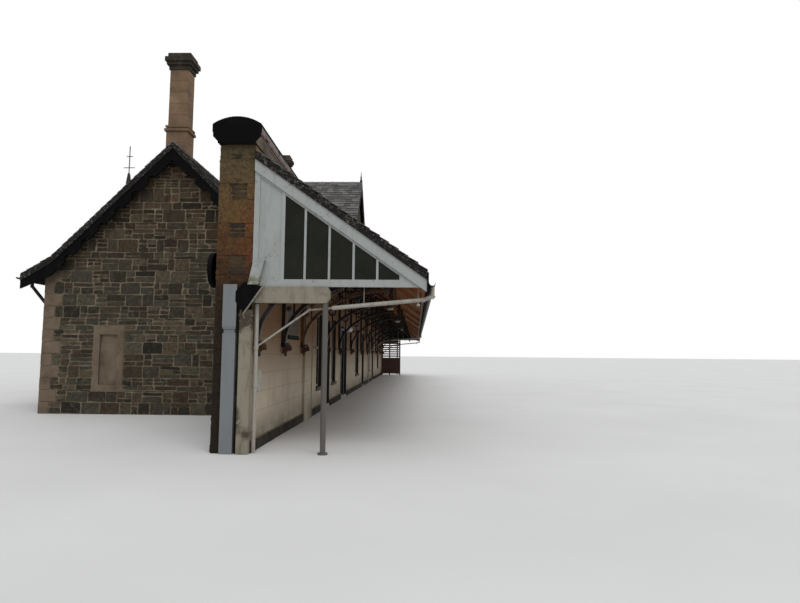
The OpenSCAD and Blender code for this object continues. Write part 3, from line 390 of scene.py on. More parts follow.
def ashlar(name, tone, red_at, soot_at):
    """Dressed ochre sandstone with red and black weather stains."""
    f = Finish(name, 0.9, 0.25)
    stone = f.ramp(
        f.noise(0.55, 6.0, 0.7), (0.25, (0.075, 0.052, 0.034)), (0.42, (0.165, 0.108, 0.060)),
        (0.55, (0.205, 0.125, 0.064)), (0.70, (0.23, 0.165, 0.105)),
    )
    red = f.patches(0.8, 4.0, 0.5, red_at, red_at + 0.14, 0.0, 0.75)
    stone = f.mix(red, f.tinted(stone, tone), tuple(c * t for c, t in zip((0.26, 0.095, 0.040), tone)))
    soot = f.patches(0.3, 7.0, 0.75, soot_at, soot_at + 0.16, 0.0, 0.85, (1, 1, 0.5))
    stone = f.mix(soot, stone, (0.016, 0.013, 0.010))
    stone = f.tinted(stone, f.ramp(f.shade(), (0.0, grey(0.82)), (1.0, (1.15, 1.13, 1.10))), 0.8)
    return f.done(stone, (f.noise(0.09, 8.0, 0.75), 0.014, 0.9), (f.noise(0.012, 3.0, 0.7), 0.002, 0.7))


def pier_stone():
    """The stone of the wall's ends."""
    f = Finish("pier_stone", 0.92, 0.2)
    return f.done(pier_tone(f), (f.noise(0.09, 9.0, 0.78), 0.02, 0.9), (f.noise(0.03, 8.0, 0.8), 0.005, 0.8))


def verge():
    """A roof's bare edge: tarred mortar, black and flecked with pale lichen."""
    f = Finish("verge", 0.85, 0.15)
    lichen = f.times(f.patches(0.05, 7.0, 0.8, 0.53, 0.60), f.patches(0.6, 3.0, 0.6, 0.42, 0.58, 0.25, 1.0))
    tarred = f.mix(lichen, (0.010, 0.009, 0.008), (0.17, 0.165, 0.145))
    return f.done(tarred, (f.noise(0.04, 7.0, 0.75), 0.006, 0.9))


def dressings(name, light, soot_at):
    """Pinkish-buff sandstone of quoins, surrounds and strings, blackened in runs."""
    f = Finish(name, 0.88, 0.25)
    stone = f.ramp(
        f.noise(0.45, 6.0, 0.68),
        (0.3, (0.135, 0.094, 0.064)), (0.5, (0.245, 0.180, 0.125)), (0.7, (0.33, 0.255, 0.19)),
    )
    soot = f.patches(0.35, 7.0, 0.75, soot_at, soot_at + 0.2, 0.0, 0.9, (1, 1, 0.35))
    stone = f.mix(soot, f.tinted(stone, grey(light)), (0.020, 0.018, 0.014))
    return f.done(stone, (f.noise(0.06, 7.0, 0.7), 0.006, 0.7))


def coping_moulding():
    """The coping's moulding: peeling pinkish-grey and buff bands over dark lines, its ends tarred black."""
    f = Finish("coping_moulding", 0.8, 0.05)
    height, along = f.axis("Z"), f.axis("Y")
    flakes = f.patches(0.12, 7.0, 0.75, 0.50, 0.60, stretch=(1, 0.35, 1))
    pink = f.mix(flakes, (0.23, 0.185, 0.175), (0.040, 0.024, 0.020))
    buff = f.mix(f.times(flakes, 0.6), (0.24, 0.20, 0.155), (0.06, 0.045, 0.034))
    band = f.mix(f.span(height, WALL_H + 0.145, WALL_H + 0.150), buff, pink)
    for low, high in ((WALL_H + 0.120, WALL_H + 0.155), (WALL_H, WALL_H + 0.018)):
        band = f.mix(f.band(height, low - 0.003, low, high + 0.003, high), band, (0.030, 0.012, 0.010))
    tar = f.widest(
        f.span(along, SOUTH_Y - 0.06, SOUTH_Y - 0.10), f.span(along, -SOUTH_Y + 0.06, -SOUTH_Y + 0.10),
        f.span(f.axis("X"), FACE_X - 0.45, FACE_X - 0.55), f.span(height, WALL_H + 0.255, WALL_H + 0.285),
    )
    return f.done(f.mix(tar, band, (0.003, 0.003, 0.0035)), (flakes, -0.003, 0.7))


def slates(name, light, moss):
    """Riven slates, each with a tone of its own, spotted with lichen and, where damp, moss."""
    f = Finish(name, 0.62)
    stone = f.ramp(
        f.shade(), (0.0, (0.030, 0.030, 0.030)), (0.35, (0.055, 0.054, 0.052)),
        (0.7, (0.085, 0.082, 0.075)), (1.0, (0.135, 0.130, 0.120)),
    )
    spots = f.add("ShaderNodeTexVoronoi", {"Vector": f.place, "Scale": 1 / 0.045}).outputs["Distance"]
    lichen = f.times(f.span(spots, 0.30, 0.12), f.patches(0.5, 6.0, 0.8, 0.52, 0.66))
    stone = f.mix(f.times(lichen, 0.75), f.tinted(stone, grey(light)), (0.27, 0.27, 0.24))
    damp = f.patches(0.35, 7.0, 0.8, 0.50, 0.68, 0.0, moss)
    f.put("Roughness", f.span(damp, 0.0, 1.0, 0.55, 0.95))
    return f.done(f.mix(damp, stone, (0.060, 0.052, 0.028)), (f.noise(0.03, 6.0, 0.7), 0.003, 0.8))


def paint(name, colour, under, chips, dirt, soil, roughness, shine=0.35, moss_at=None):
    """Old paint: dust and run marks over it, what is under it where it has gone, and moss below a height."""
    f = Finish(name, roughness, shine)
    base = f.mix(f.patches(0.12, 6.0, 0.7, 0.45, 0.75, 0.0, soil, (1, 1, 0.2)), colour, dirt)
    base = f.mix(f.patches(0.5, 7.0, 0.8, 0.52, 0.72, 0.0, soil * 0.8), base, dirt)
    if moss_at:
        green = f.times(f.span(f.axis("Z"), moss_at, moss_at - 0.16), f.patches(0.1, 5.0, 0.7, 0.40, 0.56))
        base = f.mix(f.times(green, 0.85), base, (0.105, 0.098, 0.030))
    gone = f.times(
        f.patches(0.07, 8.0, 0.8, 0.70 - chips, 0.74 - chips), f.patches(0.9, 3.0, 0.6, 0.48, 0.62),
    )
    f.put("Roughness", f.span(gone, 0.0, 1.0, roughness, 0.85))
    return f.done(f.mix(gone, base, under), (gone, -0.0015, 0.6), (f.noise(0.02, 5.0, 0.6), 0.0008, 0.6))


def sash(white):
    """Sashes: white paint on their faces, with painted shade making them nearly black on the sides of their deep
    recesses.
    """
    f = Finish("sash", 0.5, 0.25)
    worn = f.mix(f.patches(0.1, 7.0, 0.75, 0.48, 0.66, 0.0, 0.7), white, (0.13, 0.12, 0.095))
    # Painted shade: the parts set back in the recesses go nearly black.
    painted_recess_shade = f.band(f.axis("X"), FACE_X - 0.101, FACE_X - 0.104, FACE_X - 1.1, FACE_X - 1.0)
    return f.done(f.mix(painted_recess_shade, worn, (0.016, 0.014, 0.011)), (f.noise(0.02, 5.0, 0.6), 0.0008, 0.6))


def varnished_boards(name):
    """Brown varnish over matchboarding, with its grain along the boards."""
    f = Finish(name, 0.45)
    grain = f.noise(0.03, 5.0, 0.7, (0.06, 1, 0.06))
    base = f.ramp(
        grain, (0.3, (0.235, 0.078, 0.022)), (0.55, (0.34, 0.124, 0.035)), (0.75, (0.41, 0.162, 0.050)),
    )
    base = f.tinted(base, f.ramp(f.shade(), (0.0, grey(0.90)), (1.0, grey(1.1))))
    smoked = f.patches(0.6, 6.0, 0.7, 0.5, 0.72, 0.0, 0.45)
    return f.done(f.mix(smoked, base, (0.035, 0.024, 0.016)), (grain, 0.001, 0.7))


def cast_iron():
    """Black-painted castings with rust blooming through, most of all on the third bracket."""
    f = Finish("cast_iron", 0.5, 0.25)
    bloom = f.patches(0.09, 7.0, 0.8, 0.54, 0.68)
    third = f.band(f.axis("Y"), RUSTY_Y - 0.2, RUSTY_Y - 0.15, RUSTY_Y + 0.2, RUSTY_Y + 0.15)
    third = f.times(third, f.patches(0.25, 6.0, 0.75, 0.36, 0.54, 0.2, 1.0))
    black = f.mix(f.times(bloom, 0.8), (0.013, 0.010, 0.009), (0.090, 0.044, 0.028))
    f.put("Roughness", f.span(bloom, 0.0, 1.0, 0.42, 0.9))
    rusty = f.mix(bloom, (0.120, 0.058, 0.024), (0.050, 0.020, 0.010))
    return f.done(f.mix(third, black, rusty), (f.noise(0.015, 5.0, 0.7), 0.0015, 0.7))


def glass():
    """Old window glass, a little uneven and dusty, coloured nearly black as a painted shade of the dark room
    behind it.
    """
    f = Finish("window_glass", 0.06, 0.07)
    f.put("Transmission Weight", 0.25)
    f.put("IOR", 1.45)
    # Painted shade: the nearly black colour stands for the dark room behind; the dust only varies it.
    dust = f.ramp(f.noise(0.5, 5.0, 0.7), (0.35, (0.004, 0.006, 0.002)), (0.7, (0.014, 0.015, 0.008)))
    return f.done(dust, (f.noise(0.3, 2.0, 0.5), 0.0015, 0.4))


def clouded(name, roughness, low, high, clouds, metallic=0.0):
    """One colour clouded with another. The clouds are a noise's size, detail and roughness."""
    f = Finish(name, roughness, metallic=metallic)
    return f.done(f.ramp(f.noise(*clouds), low, high))


def stone_floor():
    """Worn stone flags with dark joints."""
    f = Finish("stone_floor", 0.8)
    flags = f.add("ShaderNodeTexBrick", {
        "Vector": f.place, "Scale": 1.0, "Mortar Size": 0.006, "Brick Width": 0.9, "Row Height": 0.6,
        "Color1": (0.24, 0.23, 0.21), "Color2": (0.31, 0.30, 0.27), "Mortar": (0.08, 0.08, 0.07),
    })
    wear = f.ramp(f.noise(0.5, 6.0, 0.7), (0.3, grey(0.7)), (0.7, grey(1.15)))
    return f.done(f.tinted(flags.outputs["Color"], wear), (f.noise(0.08, 6.0, 0.7), 0.003, 0.6))


def make_finishes(colours):
    """Every finish by name. A record slot's name is the finish of the CAD parts in that slot."""
    wood = (0.13, 0.12, 0.105)
    white, black = tuple(colours.white), tuple(colours.black)
    cream = (0.215, 0.194, 0.146)
    tar = (0.008, 0.008, 0.008)
    finishes = {
        "render_wall": limewash(tuple(colours.limewash)),
        "rubble": mortar(),
        "stones": rubble("rubble", 1.0),
        "plinth_stones": rubble("plinth_stones", 0.42),
        # The worn pockets' stones are tinted dark: partly painted shade of the hollows, partly their soot.
        "pocket_stones": ashlar("pocket_stones", (0.26, 0.28, 0.27), 0.75, 0.42),
        "ashlar": pier_stone(),
        "chimney_blocks": ashlar("chimney_blocks", (0.90, 0.92, 1.05), 0.70, 0.62),
        "chimney_cap": dressings("chimney_cap", 0.28, 0.34),
        "sandstone": dressings("dressings", 0.54, 0.56),
        "sandstone_blocks": dressings("dressed_blocks", 0.56, 0.62),
        "coping_moulding": coping_moulding(),
        "verge": verge(),
        "slate": slates("range_slates", 0.88, 0.5),
        "ridge": slates("ridge_tiles", 3.0, 0.2),
        "canopy_slate": slates("canopy_slates", 0.85, 0.95),
        "varnished_boards": varnished_boards("rafters"),
        "soffit": varnished_boards("soffit_boards"),
        "cast_iron": cast_iron(),
        "sash": sash(white),
        "glass": glass(),
        "opal": clouded(
            "opal_glass", 0.25, (0.4, (0.72, 0.72, 0.68)), (0.7, (0.80, 0.80, 0.77)), (0.05, 4.0, 0.6),
        ),
        "brass": clouded(
            "worn_brass", 0.35, (0.35, (0.32, 0.22, 0.09)), (0.7, (0.55, 0.42, 0.20)), (0.02, 5.0, 0.7), 1.0,
        ),
        "concrete": stone_floor(),
    }
    # Each paint's colour, what is under it, its chips, dirt and soiling, its roughness, shine and moss
    paints = {
        "black_timber": ("black_boards", black, (0.075, 0.075, 0.072), 0.10, tar, 0.3, 0.7, 0.05),
        "white_timber": ("white_joinery", white, wood, 0.13, (0.17, 0.165, 0.14), 0.4, 0.5),
        "cream_timber": ("cream_joinery", cream, wood, 0.22, (0.10, 0.070, 0.042), 0.75, 0.6),
        "post_timber": ("post_timber", cream, (0.045, 0.034, 0.022), 0.27, (0.085, 0.060, 0.036), 0.8, 0.65),
        "chute": ("chute", white, wood, 0.14, (0.14, 0.13, 0.10), 0.5, 0.5, 0.3, 2.93),
        "rusty_iron": (
            "rusty_iron", (0.075, 0.034, 0.018), (0.018, 0.012, 0.010), 0.2, (0.12, 0.06, 0.03), 0.7, 0.8,
            0.15,
        ),
        "grey_metal": (
            "grey_casing", (0.155, 0.168, 0.176), (0.08, 0.055, 0.04), 0.06, (0.11, 0.11, 0.105), 0.4, 0.45,
        ),
        "prop_paint": (
            "prop_paint", (0.088, 0.083, 0.073), (0.06, 0.04, 0.03), 0.08, (0.07, 0.062, 0.05), 0.5, 0.5,
        ),
        "white_metal": (
            "white_pipe", (0.32, 0.30, 0.26), (0.10, 0.07, 0.05), 0.12, (0.14, 0.11, 0.075), 0.7, 0.45,
        ),
        "black_metal": ("black_lead", black, grey(0.05), 0.08, tar, 0.4, 0.7, 0.05),
        "door_paint": (
            "door_green", (0.010, 0.020, 0.018), (0.10, 0.08, 0.06), 0.06, (0.03, 0.03, 0.026), 0.4, 0.3,
        ),
        "brown_timber": ("brown_boards", (0.065, 0.026, 0.018), wood, 0.12, (0.03, 0.02, 0.016), 0.5, 0.55),
    }
    finishes.update({key: paint(*values) for key, values in paints.items()})
    return finishes


# Plans: flat polygons laid out on a face of the building

class Face:
    """A flat face of the building: a corner and the ways along it and up it, whose cross product is out."""

    def __init__(self, corner, along, up=UP):
        self.corner = Vector(corner)
        self.along = Vector(along).normalized()
        self.up = Vector(up).normalized()
        self.out = self.along.cross(self.up)

    def point(self, u, v, lift=0.0):
        return self.corner + self.along * u + self.up * v + self.out * lift


def clipped(polygon, sides):
    """The part of a polygon where a*u + b*v <= c for every side (a, b, c)."""
    for a, b, c in sides:
        kept = []
        for i, p in enumerate(polygon):
            q = polygon[(i + 1) % len(polygon)]
            dp = a * p[0] + b * p[1] - c
            dq = a * q[0] + b * q[1] - c
            if dp <= 0:
                kept.append(p)
            if dp * dq < 0:
                t = dp / (dp - dq)
                kept.append((p[0] + (q[0] - p[0]) * t, p[1] + (q[1] - p[1]) * t, *p[2:]))
        polygon = kept
        if len(polygon) < 3:
            return []
    return polygon


def plan_mesh(name, plans):
    """A mesh of separate polygons. Each plan is a face and its (polygon of u, v, lift; shade) pairs."""
    points, polygons, shades = [], [], []
    for face, shapes in plans:
        for polygon, shade in shapes:
            polygons.append(list(range(len(points), len(points) + len(polygon))))
            points += [face.point(*corner) for corner in polygon]
            shades += [shade] * len(polygon)
    mesh = bpy.data.meshes.new(name)
    mesh.from_pydata(points, [], polygons)
    mesh.attributes.new("shade", "FLOAT", "POINT").data.foreach_set("value", shades)
    return mesh


def spans_beside(low, high, bottom, top, holes):
    """What is left of a course beside the holes (u low, u high, v low, v high) that it meets."""
    parts = [(low, high)]
    for a, b, c, d in holes:
        if d > bottom + 1e-4 and c < top - 1e-4:
            split = [(lo, min(hi, a)) for lo, hi in parts] + [(max(lo, b), hi) for lo, hi in parts]
            parts = sorted(p for p in split if p[1] - p[0] > 0.03)
    return parts


def course_levels(bottom, top, height, holes, rng):
    """Heights of the courses' beds, which fall in with the holes' sills and heads."""
    fixed = sorted({bottom, top} | {min(max(v, bottom), top) for h in holes for v in h[2:]})
    levels = [bottom]
    for low, high in zip(fixed, fixed[1:]):
        count = max(1, round((high - low) / height))
        for i in range(1, count):
            levels.append(low + (high - low) * (i + rng.uniform(-0.27, 0.27)) / count)
        levels.append(high)
    return levels


def stone_shape(u0, u1, v0, v1, joint, wobble, rng):
    """One stone: its corners drawn in by half a joint and knocked about."""
    inset = joint / 2
    corners = oblong(u0 + inset, u1 - inset, v0 + inset, v1 - inset)
    return [(u + rng.uniform(-wobble, wobble), v + rng.uniform(-wobble, wobble), 0.0) for u, v in corners]


def ragged_shape(u0, u1, v0, v1, joint, wobble, rng):
    """One stone with nicked corners and broken edges."""
    corners = stone_shape(u0, u1, v0, v1, joint, wobble, rng)
    shape = []
    for i, p in enumerate(corners):
        q = corners[(i + 1) % 4]
        side = math.dist(p, q)
        nick = min(rng.uniform(0.008, 0.034), 0.3 * side)
        breaks = (0.35, 0.65) if side > 0.16 else (0.5,)
        stops = [nick / side] + [k + rng.uniform(-0.08, 0.08) for k in breaks]
        stops.append(1 - min(rng.uniform(0.006, 0.026), 0.3 * side) / side)
        out = (-(q[1] - p[1]) / side, (q[0] - p[0]) / side)
        for t in stops:
            off = rng.uniform(-wobble, wobble) * 0.8
            u, v = (p[k] + (q[k] - p[k]) * t + out[k] * off for k in (0, 1))
            shape.append((u, v, 0.0))
    return shape


def rubble_plan(width, bottom, top, sides, holes, rng, height, joint, wobble):
    """Snecked rubble: courses of large stones, broken by stacks of thin ones."""
    shapes = []
    levels = course_levels(bottom, top, height, holes, rng)
    for v0, v1 in zip(levels, levels[1:]):
        for low, high in spans_beside(0.0, width, v0, v1, holes):
            u = low
            while u < high - 1e-5:
                step = rng.uniform(0.18, 0.60)
                if high - u - step < 0.18:
                    step = high - u if high - u < 0.62 else (high - u) / 2
                rows = [v0, v1]
                chance = rng.random()
                if v1 - v0 > 0.15 and chance > 0.45:
                    rows = [v0, v0 + (v1 - v0) * rng.uniform(0.34, 0.66), v1]
                if v1 - v0 > 0.20 and chance > 0.78:
                    thin, thick = rng.uniform(0.28, 0.38), rng.uniform(0.62, 0.72)
                    rows = [v0, v0 + (v1 - v0) * thin, v0 + (v1 - v0) * thick, v1]
                for a, b in zip(rows, rows[1:]):
                    cuts = [u, u + step]
                    if step > 0.34 and len(rows) > 2 and rng.random() < 0.45:
                        cuts.insert(1, u + step * rng.uniform(0.35, 0.65))
                    for c, d in zip(cuts, cuts[1:]):
                        shape = clipped(ragged_shape(c, d, a, b, joint, wobble, rng), sides)
                        if shape:
                            shapes.append((shape, rng.random()))
                u += step
    return shapes


def block_plan(width, bottom, top, height, rng, joint):
    """Coursed blocks: joints of alternate courses fall between each other."""
    shapes = []
    for i, (v0, v1) in enumerate(evenly(bottom, top, max(1, round((top - bottom) / height)))):
        pieces = max(1, round(width / BLOCK_LEN))
        shift = 0.5 if i % 2 and pieces > 1 else 0.0
        stops = range(1, pieces + (1 if shift else 0))
        cuts = [0.0] + [width * (k - shift) / pieces for k in stops] + [width]
        for c, d in zip(cuts, cuts[1:]):
            shapes.append((stone_shape(c, d, v0, v1, joint, 0.0015, rng), rng.random()))
    return shapes


def slate_plan(width, length, keep, sides, rng, size, lift):
    """Slates in bonded courses, tails up: v runs from the eave to the ridge, and every tail stands clear."""
    shapes = []
    gap = 0.0015
    for row in range(math.ceil(length / size.margin)):
        v0 = row * size.margin
        v1 = min(v0 + size.margin * 1.25, length)
        u = -size.slate * (0.5 if row % 2 else 0.0) - rng.uniform(0, 0.02)
        while u < width:
            w = size.slate * rng.uniform(0.88, 1.12)
            sag = rng.uniform(-0.006, 0.006)
            tilt = rng.uniform(-0.004, 0.004)
            a, b = max(u + gap, 0.0), min(u + w - gap, width)
            if b - a > 0.03 and keep((a + b) / 2, (v0 + v1) / 2):
                tail = lift * rng.uniform(0.85, 1.3)
                low_a, low_b = max(v0 + sag, 0), max(v0 + sag + tilt, 0)
                shape = clipped([(a, low_a, tail), (b, low_b, tail), (b, v1, 0.001), (a, v1, 0.001)], sides)
                if shape:
                    shapes.append((shape, rng.random()))
            u += w
    return shapes


# Trees that turn plans and single pieces into laid work

def new_tree(name, work, **inputs):
    """A Geometry Nodes tree of named inputs. It ends in Realize Instances and Set Material."""
    tree = bpy.data.node_groups.new(name, "GeometryNodeTree")
    inputs = {"Geometry": "Geometry", **inputs, "Finish": "Material"}
    for label, kind in inputs.items():
        label = label.replace("_", " ")
        tree.interface.new_socket(label, in_out="INPUT", socket_type="NodeSocket" + kind)
    tree.interface.new_socket("Geometry", in_out="OUTPUT", socket_type="NodeSocketGeometry")
    given = add(tree, "NodeGroupInput").outputs
    real = add(tree, "GeometryNodeRealizeInstances", {"Geometry": work(tree, given)}).outputs["Geometry"]
    dressed = add(tree, "GeometryNodeSetMaterial", {"Geometry": real, "Material": given["Finish"]})
    add(tree, "NodeGroupOutput", {"Geometry": dressed.outputs["Geometry"]})
    return tree


def laid_work(tree, given):
    """Thickens each polygon of a plan into one stone, slate or board, with worn arrises and a rough face."""

    def math_node(operation, a, b):
        return add(tree, "ShaderNodeMath", {0: a, 1: b}, operation=operation).outputs[0]

    plan, uneven = given["Geometry"], given["Unevenness"]
    thick = add(tree, "FunctionNodeRandomValue", {
        2: math_node("SUBTRACT", 1.0, uneven), 3: math_node("ADD", 1.0, uneven), "Seed": given["Seed"],
    }, data_type="FLOAT")
    raised = math_node("MULTIPLY", thick.outputs[1], given["Thickness"])
    stone = add(tree, "GeometryNodeExtrudeMesh", {"Mesh": plan, "Offset Scale": raised}, mode="FACES").outputs
    worn = add(tree, "GeometryNodeScaleElements", {
        "Geometry": stone["Mesh"], "Selection": stone["Top"], "Scale": given["Arris"],
    })
    back = add(tree, "GeometryNodeFlipFaces", {"Mesh": plan}).outputs["Mesh"]
    whole = add(tree, "GeometryNodeJoinGeometry", {"Geometry": worn.outputs["Geometry"]})
    feed(tree, back, whole.inputs["Geometry"])
    closed = add(tree, "GeometryNodeMergeByDistance", {0: whole.outputs["Geometry"], "Distance": 0.00005})
    fine = add(tree, "GeometryNodeSubdivideMesh", {"Mesh": closed.outputs[0], "Level": given["Levels"]})
    grain = add(tree, "ShaderNodeTexNoise", {"Scale": math_node("DIVIDE", 1.0, given["Grain size"])})
    centred = add(
        tree, "ShaderNodeVectorMath", {0: grain.outputs["Color"], 1: (0.5, 0.5, 0.5)}, operation="SUBTRACT",
    )
    shove = add(
        tree, "ShaderNodeVectorMath", {0: centred.outputs[0], "Scale": given["Roughness"]}, operation="SCALE",
    )
    moved = add(tree, "GeometryNodeSetPosition", {0: fine.outputs["Mesh"], "Offset": shove.outputs[0]})
    return moved.outputs["Geometry"]


def row_of_pieces(tree, given):
    """Repeats one piece along a line."""
    stops = {"Count": given["Count"], "Offset": given["Step"]}
    line = add(tree, "GeometryNodeMeshLine", stops, mode="OFFSET").outputs["Mesh"]
    pieces = add(tree, "GeometryNodeInstanceOnPoints", {"Points": line, "Instance": given["Geometry"]})
    return pieces.outputs["Instances"]


def placed(name, data):
    """A new object in the scene."""
    thing = bpy.data.objects.new(name, data)
    bpy.context.scene.collection.objects.link(thing)
    return thing


def worked(name, mesh, tree, **values):
    """An object with the plain result of running a mesh through a tree."""
    piece = placed(name, mesh)
    modifier = piece.modifiers.new("Laid", "NODES")
    modifier.node_group = tree
    sockets = {s.name: s.identifier for s in tree.interface.items_tree if s.in_out == "INPUT"}
    for label, value in values.items():
        modifier[sockets[label.replace("_", " ")]] = value
    bpy.context.view_layer.update()
    result = bpy.data.meshes.new_from_object(piece.evaluated_get(bpy.context.evaluated_depsgraph_get()))
    piece.modifiers.remove(modifier)
    piece.data = result
    if not result.polygons:
        raise RuntimeError(f"{name} came out empty")
    return piece


def repeated(name, mesh, count, step):
    """A piece repeated along a line, as plain geometry."""
    tree = new_tree("Row of pieces", row_of_pieces, Count="Int", Step="Vector")
    return worked(name, mesh, tree, Count=count, Step=step, Finish=FINISHES["cast_iron"])


def carried(piece, body=BODY):
    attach(piece, body)
    return piece


def lay(name, plans, finish, thickness, uneven, arris, seed, roughness=0.0, grain=1.0, levels=0):
    """Lays the stones, slates or boards of some plans as one piece."""
    tree = new_tree(
        "Laid work", laid_work, Thickness="Float", Unevenness="Float", Arris="Float", Roughness="Float",
        Grain_size="Float", Levels="Int", Seed="Int",
    )
    return carried(worked(
        name, plan_mesh(name, plans), tree, Thickness=thickness, Unevenness=uneven, Arris=arris,
        Roughness=roughness, Grain_size=grain, Levels=levels, Seed=seed, Finish=FINISHES[finish],
    ))


# Meshes built from boxes and swept outlines

def circle(radius, sides, height=0.0):
    """Points round an upright line."""
    turns = [2 * math.pi * k / sides for k in range(sides)]
    return [Vector((radius * math.cos(a), radius * math.sin(a), height)) for a in turns]


def block(low, high):
    """A box's foot and head."""
    (x0, y0, z0), (x1, y1, z1) = low, high
    return oblong(x0, x1, y0, y1, z0), oblong(x0, x1, y0, y1, z1)


def upright(outline, near, far):
    """The two ends, along the wall, of a solid whose outline is in x and z."""
    return [(x, near, z) for x, z in outline], [(x, far, z) for x, z in outline]


class Parts:
    """Collects solids for one mesh, in places from the south end of the wall's platform face."""

    def __init__(self):
        self.points, self.polygons = [], []

    def skin(self, *rings):
        """Joins rings of as many points, one after the other, and closes both ends."""
        n, first = len(rings[0]), len(self.points)
        for ring in rings:
            self.points += ring
        last = len(self.points) - n
        self.polygons.append([first + i for i in reversed(range(n))])
        self.polygons.append([last + i for i in range(n)])
        for a in range(first, last, n):
            for i in range(n):
                j = (i + 1) % n
                self.polygons.append([a + i, a + j, a + n + j, a + n + i])

    def solid(self, foot, head):
        """A solid between two outlines of as many corners."""
        self.skin([at(*p) for p in foot], [at(*p) for p in head])

    def rod(self, start, end, radius, sides):
        start, end = at(*start), at(*end)
        turn = (end - start).to_track_quat("Z", "Y")
        self.skin(*([place + turn @ p for p in circle(radius, sides)] for place in (start, end)))

    def pipe(self, route, radius, sides):
        """Rods from each place of a route to the next."""
        for a, b in zip(route, route[1:]):
            self.rod(a, b, radius, sides)

    def turned(self, place, profile, sides, axis="Z"):
        """A turned shape about an upright or a level line: profile is (radius, height) from its foot."""
        self.skin(*([at(*place) + TURNS[axis] @ p for p in circle(r, sides, h)] for r, h in profile))

    def ribbon(self, path, width, thickness):
        """A flat bar bent along a path in x and z, thickness across the wall's length."""
        rings = []
        for i, (x, y, z) in enumerate(path):
            a, b = path[max(i - 1, 0)], path[min(i + 1, len(path) - 1)]
            dx, dz = b[0] - a[0], b[2] - a[2]
            span = math.hypot(dx, dz) or 1.0
            nx, nz = -dz / span * width / 2, dx / span * width / 2
            corners = ((-1, -1), (-1, 1), (1, 1), (1, -1))
            rings.append([at(x + s * nx, y + t * thickness / 2, z + s * nz) for s, t in corners])
        self.skin(*rings)

    def mesh(self, name):
        mesh = bpy.data.meshes.new(name)
        mesh.from_pydata(self.points, [], self.polygons)
        return mesh

    def piece(self, name, finish, slot, body=BODY, bevel=0.0, smooth=False):
        mesh = self.mesh(name)
        mesh.materials.append(FINISHES[finish])
        piece = placed(name, mesh)
        if smooth:
            mesh.polygons.foreach_set("use_smooth", [True] * len(mesh.polygons))
            mesh.set_sharp_from_angle(angle=math.radians(35))
        if bevel:
            modifier = piece.modifiers.new("Arrises", "BEVEL")
            modifier.width = bevel
            modifier.segments = 2
            modifier.limit_method = "ANGLE"
        return carried(piece, body)


# What the frame says about its own parts

PARTS = {}


def loose_parts(name):
    """The boxes of a node's separate solids, as (low, high) in the frame."""
    if name in PARTS:
        return PARTS[name]
    mesh = frame["nodes"][name].data
    same = {}
    tag = [same.setdefault(tuple(round(c, 5) for c in v.co), len(same)) for v in mesh.vertices]
    parent = list(range(len(same)))

    def root(i):
        while parent[i] != i:
            parent[i] = parent[parent[i]]
            i = parent[i]
        return i

    for polygon in mesh.polygons:
        first = root(tag[polygon.vertices[0]])
        for v in polygon.vertices:
            parent[root(tag[v])] = first
    boxes = {}
    for v in mesh.vertices:
        low, high = boxes.setdefault(root(tag[v.index]), (v.co.copy(), v.co.copy()))
        for k in range(3):
            low[k] = min(low[k], v.co[k])
            high[k] = max(high[k], v.co[k])
    PARTS[name] = sorted(boxes.values(), key=lambda b: (round(b[0].y, 3), round(b[0].x, 3), round(b[0].z, 3)))
    return PARTS[name]


def holes_on(face, names, margin=0.008, reach=0.06):
    """Rectangles of a face that the loose parts of these nodes cover."""
    holes = []
    for low, high in (box for name in names for box in loose_parts(name)):
        xs, ys, zs = zip(low, high)
        corners = [Vector((x, y, z)) - face.corner for x in xs for y in ys for z in zs]
        outs, us, vs = ([c.dot(way) for c in corners] for way in (face.out, face.along, face.up))
        if min(outs) < reach and max(outs) > -reach:
            holes.append((min(us) - margin, max(us) + margin, min(vs) - margin, max(vs) + margin))
    return holes


# Roof heights, as the CAD has them

def range_height(x):
    if x > RIDGE_X:
        return RANGE_RIDGE - (x - RIDGE_X)
    if x > BREAK_X:
        return RANGE_RIDGE - (RIDGE_X - x)
    return BREAK_Z - (BREAK_X - x) * math.tan(EAVE_PITCH)


def bay_radius(x, y):
    """How far out a place lies on the bay's octagon, measured to its corners."""
    sides = [2 * k * EIGHTH for k in range(8)]
    return max((x - BAY_X) * math.cos(a) + (y - BAY_Y) * math.sin(a) for a in sides) / math.cos(EIGHTH)


def bay_height(x, y):
    return BAY_TOP - (BAY_TOP - BAY_EAVE) * bay_radius(x, y) / BAY_EAVE_R


def in_stack(x, y):
    """Whether a place lies in a chimney stack or so near it that a slate there would meet it."""
    room = 0.025
    for low, high in loose_parts("chimney_stacks"):
        (x0, y0, _), (x1, y1, _) = here(low), here(high)
        if x0 + room < x < x1 - room and y0 + room < y < y1 - room:
            return True
    return False


# Stonework

def quoin_plan(u_at, way, bottom, top, flip, lap, holes, rng):
    """Corner stones in turn long and short. It adds the ground they cover to the holes."""
    shapes = []
    for i, (v0, v1) in enumerate(evenly(bottom, top, round((top - bottom) / QUOIN_H))):
        reach = (QUOIN_LONG if (i + flip) % 2 else QUOIN_SHORT) + rng.uniform(-0.03, 0.03)
        u0, u1 = sorted((u_at - way * lap, u_at + way * reach))
        holes.append((u0, u1, v0, v1))
        shapes.append((oblong(u0, u1, v0 + DRAWN_IN, v1 - DRAWN_IN, 0), rng.random()))
    return shapes


def facet(a):
    """The way out of an upright facet that looks towards an angle, and the way along it."""
    return Vector((math.cos(a), math.sin(a), 0)), Vector((-math.sin(a), math.cos(a), 0))


def bay_faces():
    """The bay's walls that show: a face, where the wall starts and stops on it, and if it has a window."""
    half, apothem = BAY_R * math.sin(EIGHTH), BAY_R * math.cos(EIGHTH)
    for degrees in (90, 135, 180, 225, 270):
        out, along = facet(math.radians(degrees))
        face = Face(at(BAY_X, BAY_Y, 0) + out * apothem - along * half, along)
        low = BAY_X + half - REAR_X if degrees == 90 else 0.0
        high = REAR_X - BAY_X + half if degrees == 270 else 2 * half
        yield face, low, high, degrees in (135, 180, 225)


